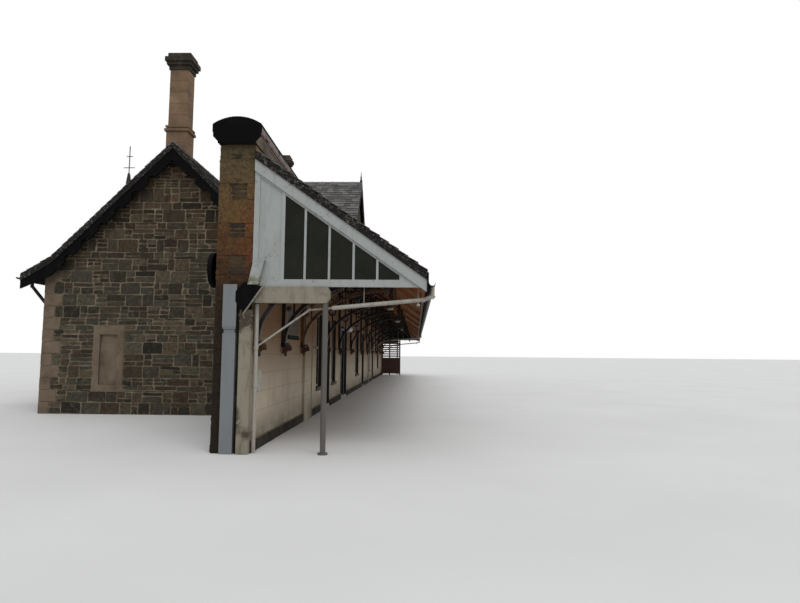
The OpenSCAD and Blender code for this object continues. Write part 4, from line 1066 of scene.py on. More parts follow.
class StationStone(bpy.types.PropertyGroup):
    course: number("Rubble course", "Mean height of a rubble course", 0.27, 0.1)
    joint: number("Mortar joint", "Width of a joint in the rubble", 0.026, 0.004)
    relief: number("Relief", "How far stones stand out of the mortar", 0.012, 0.002)
    block: number("Ashlar course", "Height of an ashlar course", 0.31, 0.1)


class STATION_OT_rubble(bpy.types.Operator):
    """Lay the snecked rubble of the gables, rear walls, wing and bay"""
    bl_idname = "station.rubble"
    bl_label = "Rubble walls"

    def execute(self, context):
        size = context.scene.station_stone
        rng = random.Random(41)
        dressed = ["window_surrounds", "blocked_windows"]
        under = RANGE_RIDGE - ROOF_V - 0.01
        wing_under = WING_RIDGE - ROOF_V - 0.01
        wing_eave = wing_under - WING_HALF
        wing_low, wing_high = WING_Y - WING_HALF, WING_Y + WING_HALF
        plans, corners, frames = {}, [], []

        def lay_wall(group, face, width, bottom, top, sides, holes):
            shapes = rubble_plan(width, bottom, top, sides, holes, rng, size.course, size.joint, 0.0115)
            plans.setdefault(group, []).append((face, shapes))

        def lay_corner(face, u_at, way, bottom, top, flip, lap, holes):
            corners.append((face, quoin_plan(u_at, way, bottom, top, flip, lap, holes, rng)))

        width = -REAR_X - WALL_T
        for group, face, rise, u_at, way in (
            ("south_gable_stones", Face(at(REAR_X, GABLE_Y, 0), EASTWARD), RIDGE_X - REAR_X, 0.0, 1),
            ("north_gable_stones", Face(at(-WALL_T, NORTH_Y, 0), WESTWARD), RIDGE_X + WALL_T, width, -1),
        ):
            holes = holes_on(face, dressed)
            lay_corner(face, u_at, way, 0.0, QUOINS_TOP, 0, 0.014, holes)
            lay_wall(group, face, width, 0.0, 6.95, [(way, 1, under + rise), (-way, 1, under - rise)], holes)
        for group, low, high, way in (
            ("south_rear_stones", GABLE_Y, wing_low, -1), ("north_rear_stones", wing_high, NORTH_Y, 1),
        ):
            face = Face(at(REAR_X, high, 0), SOUTHWARD)
            holes = holes_on(face, dressed + ["bay_walls"], 0.004)
            lay_corner(face, 0.0 if way > 0 else high - low, way, 0.0, QUOINS_TOP, 1, 0.0, holes)
            lay_wall(group, face, high - low, 0.0, range_height(REAR_X) - ROOF_V, [], holes)
        for group, face, bottom in (
            ("wing_west_stones", Face(at(REAR_X, wing_high, 0), SOUTHWARD), 0.0),
            ("wing_east_stones", Face(at(0, wing_low, 0), NORTHWARD), WALL_H),
        ):
            holes = [] if bottom else holes_on(face, dressed)
            for u_at, way in ((0.0, 1), (2 * WING_HALF, -1)):
                lay_corner(face, u_at, way, bottom, wing_eave, 0, 0.0, holes)
            slopes = [(1, 1, wing_under + WING_HALF), (-1, 1, wing_eave)]
            lay_wall(group, face, 2 * WING_HALF, bottom, WING_RIDGE, slopes, holes)
        over = RANGE_RIDGE + 0.03
        south = Face(at(REAR_X, wing_low, 0), EASTWARD)
        north = Face(at(0, wing_high, 0), WESTWARD)
        by_south = (-REAR_X - WALL_T - 0.11, -REAR_X + 0.2, 0.0, 5.54)
        by_north = (-0.2, WALL_T + 0.11, 0.0, 5.54)
        for face, parapet, slope in (
            (south, by_south, (1, -1, RIDGE_X - over - REAR_X)),
            (south, by_south, (-1, -1, REAR_X - over - RIDGE_X)),
            (north, by_north, (-1, -1, -over - RIDGE_X)),
            (north, by_north, (1, -1, RIDGE_X - over)),
        ):
            lay_wall("wing_side_stones", face, -REAR_X, 3.6, wing_eave, [slope], [parapet])
        over_roof = 4.05
        for low, high, bottom in (
            (0.0, GABLE_Y, 0.0), (NORTH_Y, WALL_LEN, 0.0),
            (GABLE_Y, wing_low, over_roof), (wing_high, NORTH_Y, over_roof),
        ):
            face = Face(at(-WALL_T, high, 0), SOUTHWARD)
            lay_wall("parapet_stones", face, high - low, bottom, WALL_H, [], [])
        for face, low, high, window in bay_faces():
            holes = []
            if window:
                hole, blocks = self.window_dressing((low + high) / 2, rng)
                holes.append(hole)
                frames.append((face, blocks))
            lay_wall("bay_stones", face, high, 0.0, 3.56, [(-1, 0, -low), (1, 0, high)], holes)
        for group, walls in plans.items():
            lay(group, walls, "stones",
                thickness=size.relief, uneven=0.45, arris=0.93, roughness=0.006, grain=0.10, seed=7)
        for name, plan, relief, seed in (("quoins", corners, 0.013, 8), ("bay_dressings", frames, 0.014, 9)):
            lay(name, plan, "sandstone_blocks",
                thickness=relief, uneven=0.1, arris=0.965, roughness=0.003, grain=0.08, seed=seed)
        return {"FINISHED"}

    @staticmethod
    def window_dressing(middle, rng):
        """The hole of one window of the bay, and its lintel, sill and jamb stones."""
        a, b = middle - BAY_WINDOW_HALF, middle + BAY_WINDOW_HALF
        left, right = a - 0.15, b + 0.15
        sill, head = BAY_SILL - 0.14, BAY_HEAD + 0.24
        blocks = [(left, right, BAY_HEAD, head), (left, right, sill, BAY_SILL)]
        for v0, v1 in evenly(BAY_SILL, BAY_HEAD, 5):
            blocks += [(left, a, v0, v1), (b, right, v0, v1)]
        j = DRAWN_IN
        shapes = [(oblong(u0 + j, u1 - j, v0 + j, v1 - j, 0), rng.random()) for u0, u1, v0, v1 in blocks]
        return (left, right, sill, head), shapes


class STATION_OT_ashlar(bpy.types.Operator):
    """Lay the ashlar of the wall's ends, the chimneys and the plinth"""
    bl_idname = "station.ashlar"
    bl_label = "Ashlar and plinth"

    def execute(self, context):
        size = context.scene.station_stone
        rng = random.Random(43)
        worn = [
            (0.24, 0.37, 4.83, 4.90), (0.20, 0.47, 4.14, 4.41), (0.20, 0.46, 3.50, 3.74),
            (0.19, 0.48, 2.88, 3.20), (0.22, 0.46, 2.18, 2.44), (0.20, 0.40, 1.42, 1.66),
            (0.26, 0.48, 0.72, 0.94),
        ]
        cuts = sorted({0.0, WALL_H} | {v for w in worn for v in w[2:]})
        blocks, pockets, shafts, plinth = [], [], [], []
        for face in (Face(at(-WALL_T, 0, 0), EASTWARD), Face(at(0, WALL_LEN, 0), WESTWARD)):
            shapes = []
            for v0, v1 in zip(cuts, cuts[1:]):
                for low, high in spans_beside(0.0, WALL_T, v0, v1, worn):
                    shapes.append((ragged_shape(low, high, v0, v1, 0.004, 0.005, rng), rng.random()))
            blocks.append((face, shapes))
            for u0, u1, v0, v1 in worn:
                stones = rubble_plan(u1 - u0, 0, v1 - v0, [], [], rng, 0.075, 0.012, 0.006)
                pocket = Face(face.point(u0, v0), face.along, face.up)
                pockets.append((pocket, [(shape, rng.random()) for shape, _ in stones]))
        for low, high in loose_parts("chimney_stacks"):
            x0, y0, z0 = here(low + Vector((0.075, 0.075, 0)))
            x1, y1, z1 = here(high - Vector((0.075, 0.075, 0)))
            for inset, bottom, top in ((0.0, 7.665, z1 - 0.005), (-0.03, z0, 7.49)):
                corners = oblong(x0 + inset, x1 - inset, y0 + inset, y1 - inset)
                wide, deep = corners[1][0] - corners[0][0], corners[2][1] - corners[1][1]
                ways = ((EASTWARD, wide), (NORTHWARD, deep), (WESTWARD, wide), (SOUTHWARD, deep))
                for corner, (along, width) in zip(corners, ways):
                    shapes = block_plan(width, bottom, top, size.block, rng, 0.006)
                    shafts.append((Face(at(*corner, 0), along), shapes))
        for low, high in loose_parts("platform_plinth"):
            face = Face((high.x, low.y, 0), NORTHWARD)
            plinth.append((face, block_plan(high.y - low.y, 0.0, high.z - low.z, 0.19, rng, 0.010)))
        lay("pier_ashlar", blocks, "ashlar",
            thickness=0.018, uneven=0.04, arris=0.985, roughness=0.008, grain=0.12, levels=2, seed=3)
        lay("pier_pockets", pockets, "pocket_stones",
            thickness=0.006, uneven=0.6, arris=0.80, roughness=0.006, grain=0.05, seed=4)
        lay("chimney_ashlar", shafts, "chimney_blocks",
            thickness=0.006, uneven=0.15, arris=0.975, roughness=0.003, grain=0.1, seed=5)
        lay("plinth_stones", plinth, "plinth_stones",
            thickness=0.010, uneven=0.5, arris=0.94, roughness=0.012, grain=0.06, levels=1, seed=6)
        return {"FINISHED"}


# Roofs

class StationRoof(bpy.types.PropertyGroup):
    slate: number("Slate width", "Mean width of a slate", 0.27, 0.1)
    margin: number("Margin", "How much of each slate shows", 0.195, 0.05)
    thickness: number("Slate thickness", "Thickness of a slate's tail", 0.009, 0.003)
    tile: number("Ridge tile", "Length of a ridge tile", 0.45, 0.2)


class STATION_OT_slates(bpy.types.Operator):
    """Slate the range, the wing, the bay and the canopy"""
    bl_idname = "station.slates"
    bl_label = "Slates"

    def execute(self, context):
        size = context.scene.station_roof
        rng = random.Random(47)
        meet = WING_RIDGE - RANGE_RIDGE
        south_verge, north_verge = here(RANGE_ROOF_LOW)[1], here(RANGE_ROOF_HIGH)[1]
        run = north_verge - south_verge
        skirt_run = math.cos(EAVE_PITCH)

        def on_range(x, y):
            away = abs(x - RIDGE_X)
            reach = meet + away if away < WING_HALF - meet else WING_HALF + 0.01
            in_bay = bay_radius(x, y) < BAY_EAVE_R and bay_height(x, y) > range_height(x) - 0.02
            return abs(y - WING_Y) >= reach and not in_stack(x, y) and not in_bay

        def on_wing(x, from_ridge):
            return abs(from_ridge) <= meet + abs(x - RIDGE_X) + 0.1 and not in_stack(x, WING_Y + from_ridge)

        def slated(name, faces, tail, finish="slate"):
            plans = []
            for face, width, length, keep, *sides in faces:
                plans.append((face, slate_plan(width, length, keep, sides, rng, size, tail)))
            lay(name, plans, finish, thickness=size.thickness, uneven=0.25, arris=0.99, seed=2)

        east = Face(at(-WALL_T, south_verge, range_height(-WALL_T)), NORTHWARD, (-1, 0, 1))
        west = Face(at(BREAK_X, north_verge, BREAK_Z), SOUTHWARD, (1, 0, 1))
        skirt = Face(at(EAVE_X, north_verge, EAVE_Z), SOUTHWARD, (skirt_run, 0, math.sin(EAVE_PITCH)))
        slated("range_slates_east", [
            (east, run, (-WALL_T - RIDGE_X) * ROOT2,
             lambda u, v: on_range(-WALL_T - v / ROOT2, south_verge + u)),
        ], 0.020)
        slated("range_slates_west", [
            (west, run, (RIDGE_X - BREAK_X) * ROOT2,
             lambda u, v: on_range(BREAK_X + v / ROOT2, north_verge - u)),
            (skirt, run, (BREAK_X - EAVE_X) / skirt_run,
             lambda u, v: on_range(EAVE_X + v * skirt_run, north_verge - u)),
        ], 0.020)
        west_x, east_x = here(WING_ROOF_LOW)[0], here(WING_ROOF_HIGH)[0]
        eave = WING_RIDGE - WING_EAVE_HALF
        width, length = east_x - west_x, WING_EAVE_HALF * ROOT2
        south = Face(at(west_x, WING_Y - WING_EAVE_HALF, eave), EASTWARD, (0, 1, 1))
        north = Face(at(east_x, WING_Y + WING_EAVE_HALF, eave), WESTWARD, (0, -1, 1))
        slated("wing_slates", [
            (south, width, length, lambda u, v: on_wing(west_x + u, v / ROOT2 - WING_EAVE_HALF)),
            (north, width, length, lambda u, v: on_wing(east_x - u, WING_EAVE_HALF - v / ROOT2)),
        ], 0.022)
        canopy = Face(at(CANOPY_OUT, -CANOPY_VERGE, CANOPY_EAVE), NORTHWARD, (-CANOPY_OUT, 0, CANOPY_DROP))
        width, length = CANOPY_HIGH.y - CANOPY_LOW.y, math.hypot(CANOPY_OUT, CANOPY_DROP) - 0.02
        slated("canopy_slates", [(canopy, width, length, lambda u, v: True)], 0.024, "canopy_slate")
        half, apothem = BAY_EAVE_R * math.sin(EIGHTH), BAY_EAVE_R * math.cos(EIGHTH)
        rise = BAY_TOP - BAY_EAVE
        length = math.hypot(apothem, rise)
        taper = half / length
        facets = []
        for k in range(8):
            out, along = facet(2 * k * EIGHTH)
            corner = at(BAY_X, BAY_Y, BAY_EAVE) + out * apothem - along * half
            face = Face(corner, along, Vector((0, 0, rise)) - out * apothem)

            def shows(u, v, face=face):
                x, _, z = here(face.point(u, v))
                return x < EAVE_X or z > range_height(x) - 0.02

            facets.append((face, 2 * half, length * 0.955, shows, (-1, taper, 0.0), (1, taper, 2 * half)))
        slated("bay_slates", facets, 0.018)
        return {"FINISHED"}


class STATION_OT_ridges(bpy.types.Operator):
    """Set the joints of the ridge tiles"""
    bl_idname = "station.ridges"
    bl_label = "Ridge tiles"

    def execute(self, context):
        size = context.scene.station_roof
        joints = Parts()
        for low, high in loose_parts("ridge_caps"):
            length = max(high.x - low.x, high.y - low.y)
            count = max(1, int(length / size.tile))
            if count < 2:
                continue
            strip = self.strip(low, high, count - 1, length / count)
            first = len(joints.points)
            joints.points += [v.co.copy() for v in strip.vertices]
            joints.polygons += [[first + i for i in p.vertices] for p in strip.polygons]
        joints.piece("ridge_joints", "ridge", "slate")
        return {"FINISHED"}

    @staticmethod
    def strip(low, high, count, step):
        """One saddle-shaped joint strip, repeated along a ridge."""
        along_y = high.y - low.y > high.x - low.x
        middle = (low + high) / 2
        half = min(high.x - low.x, high.y - low.y) / 2
        wide, proud, fall = 0.035, 0.008, high.z - low.z
        outer = [(-half - proud, -fall), (0.0, proud * 1.4), (half + proud, -fall)]
        outline = outer + [(half, -fall), (0.0, 0.0), (-half, -fall)]

        def ring(shift):
            if along_y:
                return [Vector((middle.x + across, low.y + shift, high.z + up)) for across, up in outline]
            return [Vector((low.x + shift, middle.y - across, high.z + up)) for across, up in outline]

        part = Parts()
        part.skin(ring(step + wide / 2), ring(step - wide / 2))
        way = (0.0, step, 0.0) if along_y else (step, 0.0, 0.0)
        piece = repeated("ridge_strip", part.mesh("ridge_strip"), count, way)
        result = piece.data
        bpy.data.objects.remove(piece)
        return result


# Joinery and boards

class StationJoinery(bpy.types.PropertyGroup):
    board: number("Soffit board", "Width of a matchboard under the canopy", 0.11, 0.04)
    bar: number("Glazing bar", "Width of a window's glazing bar", 0.022, 0.01)


class STATION_OT_boards(bpy.types.Operator):
    """Line the canopy's soffit with matchboards"""
    bl_idname = "station.boards"
    bl_label = "Soffit boards"

    def execute(self, context):
        size = context.scene.station_joinery
        rng = random.Random(53)
        low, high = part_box("canopy_soffit")
        top = math.hypot(CANOPY_OUT, CANOPY_DROP) - 0.02
        run = high.y - low.y - 0.1
        corner = (CANOPY_HIGH.x, high.y - 0.05, high.z - CANOPY_DROP - 0.03)
        face = Face(corner, SOUTHWARD, (-CANOPY_OUT, 0, CANOPY_DROP))
        boards = evenly(0.0, run, round(run / size.board))
        shapes = [(oblong(a + 0.0015, b - 0.0015, 0.01, top, 0), rng.random()) for a, b in boards]
        lay("soffit_boards", [(face, shapes)], "soffit",
            thickness=0.010, uneven=0.1, arris=0.97, seed=12)
        return {"FINISHED"}


class STATION_OT_windows(bpy.types.Operator):
    """Add glazing bars to the sash windows"""
    bl_idname = "station.windows"
    bl_label = "Window joinery"

    def execute(self, context):
        size = context.scene.station_joinery
        half, nose = size.bar / 2, 0.006
        part = Parts()
        for low, high in loose_parts("window_frames"):
            (x0, y0, z0), (x1, y1, z1) = here(low), here(high)
            if x0 < BAY_X:
                continue
            front = x0 > -1
            hi = x1 - 0.012 if front else x0 + 0.012 + 0.02
            lo = hi - 0.02
            width = y1 - y0
            middle = (z0 + z1) / 2 + 0.03
            bars = 2 if width > 1.3 else 1
            for k in range(bars):
                y = y0 + width * (k + 1) / (bars + 1)
                outline = [(lo, y - half), (hi, y - half + nose), (hi, y + half - nose), (lo, y + half)]
                for bottom, top in ((z0 + 0.05, middle - 0.02), (middle + 0.02, z1 - 0.05)):
                    part.solid([(*p, bottom) for p in outline], [(*p, top) for p in outline])
        for face, low, high, window in bay_faces():
            if window:
                middle = (low + high) / 2
                for v0, v1 in ((0.95, 1.62), (1.68, 2.55)):
                    outline = [(-0.011, -0.168), (-0.005, -0.150), (0.005, -0.150), (0.011, -0.168)]
                    part.skin(*([face.point(middle + u, v, lift) for u, lift in outline] for v in (v0, v1)))
        part.piece("glazing_bars", "white_timber", "white_timber", bevel=0.003)
        return {"FINISHED"}


class STATION_OT_doors(bpy.types.Operator):
    """Panel the door leaves and fit their knobs and lock plates"""
    bl_idname = "station.doors"
    bl_label = "Door panels and knobs"

    def execute(self, context):
        knob_shape = [
            (0.026, 0.0), (0.026, 0.004), (0.011, 0.008), (0.010, 0.022), (0.022, 0.030), (0.026, 0.040),
            (0.022, 0.050), (0.008, 0.055),
        ]
        plate_shape = [(0.020, 0.0), (0.020, 0.003), (0.012, 0.005), (0.004, 0.002)]
        for joint in frame["joints"]:
            leaf = joint["child"]
            low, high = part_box(leaf)
            (x0, y0, _), (x1, y1, _) = here(low), here(high)
            x0 += 0.023
            hinge_low = Vector(joint["pos_m"]).y < (low.y + high.y) / 2
            y0, y1 = (y0 + 0.009, y1) if hinge_low else (y0, y1 - 0.009)
            part = Parts()
            self.panels(part, x1, 1, y0, y1)
            self.panels(part, x0, -1, y0, y1)
            part.piece(leaf + "_panels", "door_paint", "door_paint", leaf, bevel=0.0015)
            y = y1 - 0.075 if hinge_low else y0 + 0.075
            knobs = Parts()
            for z, shape in ((1.05, knob_shape), (0.96, plate_shape)):
                knobs.turned((x1, y, z), shape, 24, "X")
                knobs.turned((x0, y, z), [(r, -h) for r, h in shape], 24, "X")
            knobs.piece(leaf + "_knobs", "brass", "black_metal", leaf, smooth=True)
        return {"FINISHED"}

    @staticmethod
    def panels(part, x, side, y0, y1):
        """Raised panels in their mouldings on one side of a leaf."""
        stile, muntin, moulding = 0.115, 0.09, 0.014
        middle = (y0 + y1) / 2

        def plate(foot, top, rise):
            rings = [[at(x, *p) for p in foot], [at(x + side * rise, *p) for p in top]]
            part.skin(*(rings if side > 0 else (ring[::-1] for ring in rings)))

        for a, b in ((y0 + stile, middle - muntin / 2), (middle + muntin / 2, y1 - stile)):
            for c, d in ((0.33, 0.93), (1.17, 2.36)):
                rings = [oblong(a + i, b - i, c + i, d - i) for i in (0.0, moulding, 0.030, 0.060)]
                for k in range(4):
                    j = (k + 1) % 4
                    rail = [rings[0][k], rings[0][j], rings[1][j], rings[1][k]]
                    plate(rail, rail, 0.006)
                plate(rings[2], rings[3], 0.005)


# Ironwork

class StationIron(bpy.types.PropertyGroup):
    bar: number("Scroll bar", "Width of the scrolls' bars", 0.018, 0.006)
    drain: number("Drain", "Radius of the packed drain pipes", 0.040, 0.01)
    clip: number("Gutter clip spacing", "Distance between the gutter's brackets", 0.9, 0.3)


def spiral(centre, start, turns, outer, inner, steps):
    """A flat spiral path about a centre in x and z."""
    path = []
    for i in range(steps + 1):
        t = i / steps
        r = outer + (inner - outer) * t
        a = start + 2 * math.pi * turns * t
        path.append((centre[0] + r * math.cos(a), centre[1], centre[2] + r * math.sin(a)))
    return path


class STATION_OT_scrolls(bpy.types.Operator):
    """Fill the canopy brackets' spandrels with scrolls and leaves"""
    bl_idname = "station.scrolls"
    bl_label = "Bracket scrolls"

    def execute(self, context):
        size = context.scene.station_iron
        boss = [(0.010, 0.0), (0.024, 0.008), (0.024, 0.036), (0.010, 0.044)]
        leaf = [(0.02, 1.60), (0.10, 1.62), (0.20, 1.72), (0.16, 1.80), (0.06, 1.80), (0.03, 1.72)]
        part, feet = Parts(), Parts()
        for low, high in loose_parts("canopy_brackets"):
            y = (here(low)[1] + here(high)[1]) / 2
            for x, z, r, start, turns in SCROLLS:
                part.ribbon(spiral((x, y, z), start, turns, r, r * 0.22, 26), size.bar, 0.03)
                part.turned((x, y - 0.022, z), boss, 10, "Y")
            for x, z, r, start, turns in FOOT_SCROLLS:
                feet.ribbon(spiral((x, y, z), start, turns, r, r * 0.25, 22), size.bar, 0.09)
            for near, far in ((-0.030, -0.040), (0.040, 0.030)):
                feet.solid(*upright(leaf, y + near, y + far))
        part.piece("bracket_scrolls", "cast_iron", "cast_iron")
        feet.piece("bracket_feet", "rusty_iron", "cast_iron", bevel=0.003)
        return {"FINISHED"}


class STATION_OT_gutter_clips(bpy.types.Operator):
    """Hang the canopy's gutter on its clips"""
    bl_idname = "station.gutter_clips"
    bl_label = "Gutter clips"

    def execute(self, context):
        size = context.scene.station_iron
        low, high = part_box("canopy_gutter")
        (x0, y0, _), (x1, _, z) = here(low), here(high)
        x = (x0 + x1) / 2
        r = (high.x - low.x) / 2 + 0.001
        count = round((high.y - low.y) / size.clip)
        step = (high.y - low.y) / count
        y = y0 + step / 2
        bend = [math.pi * k / 14 for k in range(1, 13)]
        path = [(x - r, y, z + 0.12), (x - r, y, z)]
        path += [(x - r * math.cos(a), y, z - r * math.sin(a)) for a in bend]
        part = Parts()
        part.ribbon(path, 0.005, 0.028)
        carried(repeated("gutter_clips", part.mesh("gutter_clip"), count, (0.0, step, 0.0)))
        return {"FINISHED"}


class STATION_OT_drains(bpy.types.Operator):
    """Pipe the canopy's gutter to the ground: a slack upper run, a thin slanting one and a down pipe"""
    bl_idname = "station.drains"
    bl_label = "Drain pipes"

    def execute(self, context):
        size = context.scene.station_iron
        beam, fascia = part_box("end_beams")[0].z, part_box("canopy_fascia")[0].z
        pipes = Parts()
        for low, high in loose_parts("canopy_drains"):
            (near, y, _), (far, _, top) = here(low), here(high)
            y += size.drain
            near, far = near + size.drain, far - size.drain
            bend = (CANOPY_OUT - 0.06, y, fascia - 0.095)
            upper = [(far, y, top), (far, y, fascia - 0.04), bend, (1.31, y, beam - 0.07)]
            thin = [upper[-1], (0.94, y, beam - 0.10), (near, y, 1.70)]
            at_end = min(y, WALL_LEN - y) < 1.0
            down = [(near, y, beam - 0.01 if at_end else 1.76), (near, y, 0.0)]
            for route, r in ((upper, 0.035), (thin, 0.017), (down, 0.036)):
                pipes.pipe(route, r, 16)
                for before, middle, after in zip(route, route[1:], route[2:]):
                    self.socket(pipes, before, middle, after, r + 0.006)
            for z in (0.35, 1.05, 1.66):
                pipes.turned((near, y, z), [(0.036, 0.0), (0.043, 0.004), (0.043, 0.046), (0.036, 0.05)], 16)
        piece = pipes.piece("drain_pipes", "white_metal", "white_metal", smooth=True)
        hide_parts("canopy_drains")
        return {"FINISHED"}

    @staticmethod
    def socket(part, before, bend, after, radius):
        """A short socket over a bend, in line with the way the pipe turns."""
        before, bend, after = Vector(before), Vector(bend), Vector(after)
        way = (after - bend).normalized() + (bend - before).normalized()
        way = way.normalized() * 0.03
        part.rod(tuple(bend - way), tuple(bend + way), radius, 16)


# Lamps and small fittings

class StationLamps(bpy.types.PropertyGroup):
    globe: number("Globe", "Radius of the wall lamp's opal globe", 0.11, 0.04)
    shade: number("Shade", "Radius of a canopy lamp's shade", 0.20, 0.08)


class STATION_OT_lamps(bpy.types.Operator):
    """Hang the canopy's lamps and the globe on its wall arm"""
    bl_idname = "station.lamps"
    bl_label = "Lamps"

    def execute(self, context):
        size = context.scene.station_lamps
        metal, opal = Parts(), Parts()
        x, r = 1.7, size.shade
        soffit = CANOPY_TOP - 0.17 - CANOPY_DROP / CANOPY_OUT * x
        top = soffit - 0.16
        shade = [(r, 0.0), (r, 0.008), (0.6 * r, 0.045), (0.3 * r, 0.062), (0.26 * r, 0.09), (0.10 * r, 0.10)]
        bowl = [(0.02, 0.0), (0.3 * r, 0.012), (0.52 * r, 0.05), (0.58 * r, 0.09), (0.5 * r, 0.13)]
        for y in (13.1, 22.0, 31.3):
            metal.rod((x, y, top - 0.01), (x, y, soffit + 0.01), 0.012, 12)
            metal.turned((x, y, top - 0.09), shade, 28)
            opal.turned((x, y, top - 0.22), bowl, 24)
        y, z, out, g = 11.5, 2.62, 0.33, size.globe
        metal.turned((0.0, y, z + 0.08), [(0.055, 0.0), (0.055, 0.012), (0.03, 0.02)], 20, "X")
        arm = [(0.0, y, z + 0.08), (0.5 * out, y, z + 0.13), (0.85 * out, y, z + 0.10), (out, y, z - 0.02)]
        metal.pipe(arm, 0.010, 10)
        metal.turned((out, y, z - 0.055), [(0.5 * g, 0.0), (0.55 * g, 0.02), (0.2 * g, 0.045)], 20)
        turns = [math.pi * k / 14 for k in range(1, 14)]
        globe = [(g * math.sin(a), g - g * math.cos(a)) for a in turns]
        opal.turned((out, y, z - 0.05 - 1.93 * g), globe, 28)
        metal.piece("lamp_fittings", "white_metal", "white_metal", smooth=True)
        opal.piece("lamp_globes", "opal", "glass", smooth=True)
        return {"FINISHED"}


class STATION_OT_fittings(bpy.types.Operator):
    """Fit the chute, the hopper's lip, the pipe hangers, the bare board and the wall's cover plate"""
    bl_idname = "station.fittings"
    bl_label = "Small fittings"

    def execute(self, context):
        front, back, rim = -0.115, -0.022, 0.012
        foot = oblong(-0.05, 0.127, front, back, 2.71)
        head = [(0.03, front, 3.08), (0.21, front, 3.10), (0.21, back, 3.10), (0.03, back, 3.08)]
        rim_foot = [
            (0.03 - rim, front - 0.004, 3.08), (0.21 + rim, front - 0.004, 3.10), (0.21 + rim, back, 3.10),
            (0.03 - rim, back, 3.08),
        ]
        rim_head = [(x, y, z + 0.022) for x, y, z in rim_foot]
        lip = [(0.196, 2.690), (0.206, 2.660), (-0.108, 2.200), (-0.120, 2.230)]
        cheek = [(-0.125, 2.20), (-0.105, 2.20), (0.199, 2.69), (-0.125, 2.69)]
        for name, finish, slot, bevel, *solids in (
            ("south_chute", "chute", "white_timber", 0.004, (foot, head), (rim_foot, rim_head)),
            ("hopper_lip", "cream_timber", "white_timber", 0.002, upright(lip, -0.124, -0.108)),
            ("hopper_cheek", "black_metal", "black_metal", 0.002, upright(cheek, -0.120, -0.104)),
            ("casing_sleeve", "grey_metal", "grey_metal", 0.004,
             block((-0.442, -0.108, 2.02), (-0.218, -0.095, 2.715)),
             block((-0.436, -0.101, 1.99), (-0.224, -0.095, 2.02))),
            ("blank_board", "black_timber", "black_timber", 0.003,
             block((0.0, 2.80, 1.90), (0.018, 3.95, 1.99)),
             block((0.018, 2.86, 1.915), (0.024, 3.89, 1.975))),
        ):
            part = Parts()
            for ends in solids:
                part.solid(*ends)
            part.piece(name, finish, slot, bevel=bevel)
        rods, disc = Parts(), Parts()
        for y in (0.095, WALL_LEN - 0.095):
            for x in (1.83, 2.72):
                rods.rod((x, y, 2.40), (x, y, 2.76), 0.006, 8)
                rods.turned((x, y, 2.395), [(0.028, 0.0), (0.030, 0.012), (0.030, 0.03), (0.012, 0.04)], 14)
        rods.piece("pipe_hangers", "white_metal", "white_metal", smooth=True)
        cover = [
            (0.19, 0.0), (0.19, 0.006), (0.175, 0.011), (0.16, 0.009), (0.05, 0.009), (0.045, 0.016),
            (0.02, 0.018),
        ]
        disc.turned((0.0, 0.60, 1.13), cover, 40, "X")
        disc.piece("wall_cover_plate", "white_metal", "grey_metal", smooth=True)
        return {"FINISHED"}


# Finishes on the CAD's own parts

class StationColours(bpy.types.PropertyGroup):
    limewash: tint("Limewash", "Colour of the clean limewash", (0.545, 0.462, 0.352))
    white: tint("White paint", "Colour of the clean white paint", (0.30, 0.315, 0.305))
    black: tint("Black paint", "Colour of the clean black paint", (0.0025, 0.0025, 0.003))


class STATION_OT_finishes(bpy.types.Operator):
    """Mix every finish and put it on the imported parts"""
    bl_idname = "station.finishes"
    bl_label = "Finishes"

    def execute(self, context):
        FINISHES.update(make_finishes(context.scene.station_colours))
        slots = {row["node"]: row["material_slot"] for row in frame["record"]["subparts"]}
        for name, thing in frame["nodes"].items():
            finish = FINISHES[NODE_FINISH.get(name, slots[name])]
            for slot in thing.material_slots:
                slot.material = finish
            if not thing.material_slots:
                thing.data.materials.append(finish)
        return {"FINISHED"}


# Stage, light and camera

class StationStage(bpy.types.PropertyGroup):
    daylight: number("Daylight", "Strength of the even daylight", 0.8, 0.0, "NONE")
    sun: number("Sun", "Strength of the soft sun", 1.0, 0.0, "NONE")
    focal: number("Focal length", "Focal length of the camera in millimetres", 27.0, 10.0, "NONE")


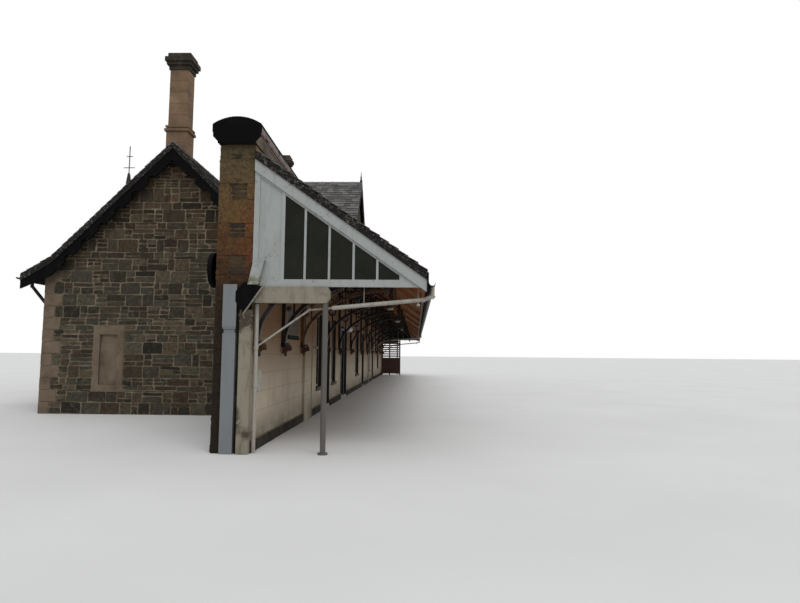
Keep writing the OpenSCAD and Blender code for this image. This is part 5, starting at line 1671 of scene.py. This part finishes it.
class STATION_OT_stage(bpy.types.Operator):
    """Set the floor, the daylight and the camera"""
    bl_idname = "station.stage"
    bl_label = "Stage"

    def execute(self, context):
        scene, look = context.scene, context.scene.station_stage
        mesh = bpy.data.meshes.new("floor")
        mesh.from_pydata(oblong(-400.0, 400.0, -400.0, 400.0, 0), [], [(0, 1, 2, 3)])
        low, high = (0.3, (0.62, 0.62, 0.61)), (0.7, (0.66, 0.66, 0.65))
        mesh.materials.append(clouded("pale_floor", 0.9, low, high, (3.0, 3.0, 0.5)))
        placed("floor", mesh)
        self.light(scene, look)
        lens = bpy.data.cameras.new("photo_camera")
        lens.lens = look.focal
        lens.sensor_width = 36.0
        lens.clip_end = 500.0
        camera = placed("photo_camera", lens)
        stand = Matrix.Translation(at(2.690, -9.700, 1.610))
        for degrees, axis in ((1.57, "Z"), (95.0, "X"), (0.5, "Z")):
            stand = stand @ Matrix.Rotation(math.radians(degrees), 4, axis)
        camera.matrix_world = stand
        scene.camera = camera
        scene.view_settings.view_transform = "Standard"
        return {"FINISHED"}

    @staticmethod
    def light(scene, look):
        """An even sky that looks white to the camera, in panes and in shine, and a soft sun."""
        world = scene.world or bpy.data.worlds.new("studio")
        scene.world = world
        world.use_nodes = True
        tree = world.node_tree
        tree.nodes.clear()
        soft = add(tree, "ShaderNodeBackground", {"Color": (0.97, 0.985, 1.0), "Strength": look.daylight})
        white = add(tree, "ShaderNodeBackground", {"Color": (1.0, 1.0, 1.0), "Strength": 1.0})
        rays = add(tree, "ShaderNodeLightPath").outputs
        seen = rays["Is Camera Ray"]
        for label in ("Is Glossy Ray", "Is Transmission Ray"):
            seen = add(tree, "ShaderNodeMath", {0: seen, 1: rays[label]}, operation="MAXIMUM").outputs[0]
        sky = add(tree, "ShaderNodeMixShader", {0: seen, 1: soft.outputs[0], 2: white.outputs[0]})
        add(tree, "ShaderNodeOutputWorld", {0: sky.outputs[0]})
        sun = bpy.data.lights.new("soft_sun", "SUN")
        sun.energy = look.sun
        sun.angle = math.radians(35)
        turn = Vector((-0.35, 0.75, -0.95)).to_track_quat("-Z", "Y")
        placed("soft_sun", sun).rotation_euler = turn.to_euler()


STEPS = (
    "finishes", "rubble", "ashlar", "slates", "ridges", "boards", "windows", "doors", "scrolls",
    "gutter_clips", "drains", "lamps", "fittings", "stage",
)
GROUPS = {
    "station_colours": StationColours, "station_stone": StationStone, "station_roof": StationRoof,
    "station_joinery": StationJoinery, "station_iron": StationIron, "station_lamps": StationLamps,
    "station_stage": StationStage,
}


class STATION_PT_panel(bpy.types.Panel):
    bl_idname = "STATION_PT_panel"
    bl_label = "Station building"
    bl_space_type = "VIEW_3D"
    bl_region_type = "UI"
    bl_category = "Station"

    def draw(self, context):
        for name, group in GROUPS.items():
            box = self.layout.box()
            for field in group.__annotations__:
                box.prop(getattr(context.scene, name), field)
        for step in STEPS:
            self.layout.operator("station." + step)


CLASSES = (
    *GROUPS.values(), STATION_OT_finishes, STATION_OT_rubble, STATION_OT_ashlar, STATION_OT_slates,
    STATION_OT_ridges, STATION_OT_boards, STATION_OT_windows, STATION_OT_doors, STATION_OT_scrolls,
    STATION_OT_gutter_clips, STATION_OT_drains, STATION_OT_lamps, STATION_OT_fittings, STATION_OT_stage,
    STATION_PT_panel,
)


def register():
    for cls in CLASSES:
        bpy.utils.register_class(cls)
    for name, group in GROUPS.items():
        setattr(bpy.types.Scene, name, bpy.props.PointerProperty(type=group))


def unregister():
    for name in GROUPS:
        delattr(bpy.types.Scene, name)
    for cls in reversed(CLASSES):
        bpy.utils.unregister_class(cls)


def main():
    register()
    for step in STEPS:
        getattr(bpy.ops.station, step)()


if __name__ == "__main__":
    main()
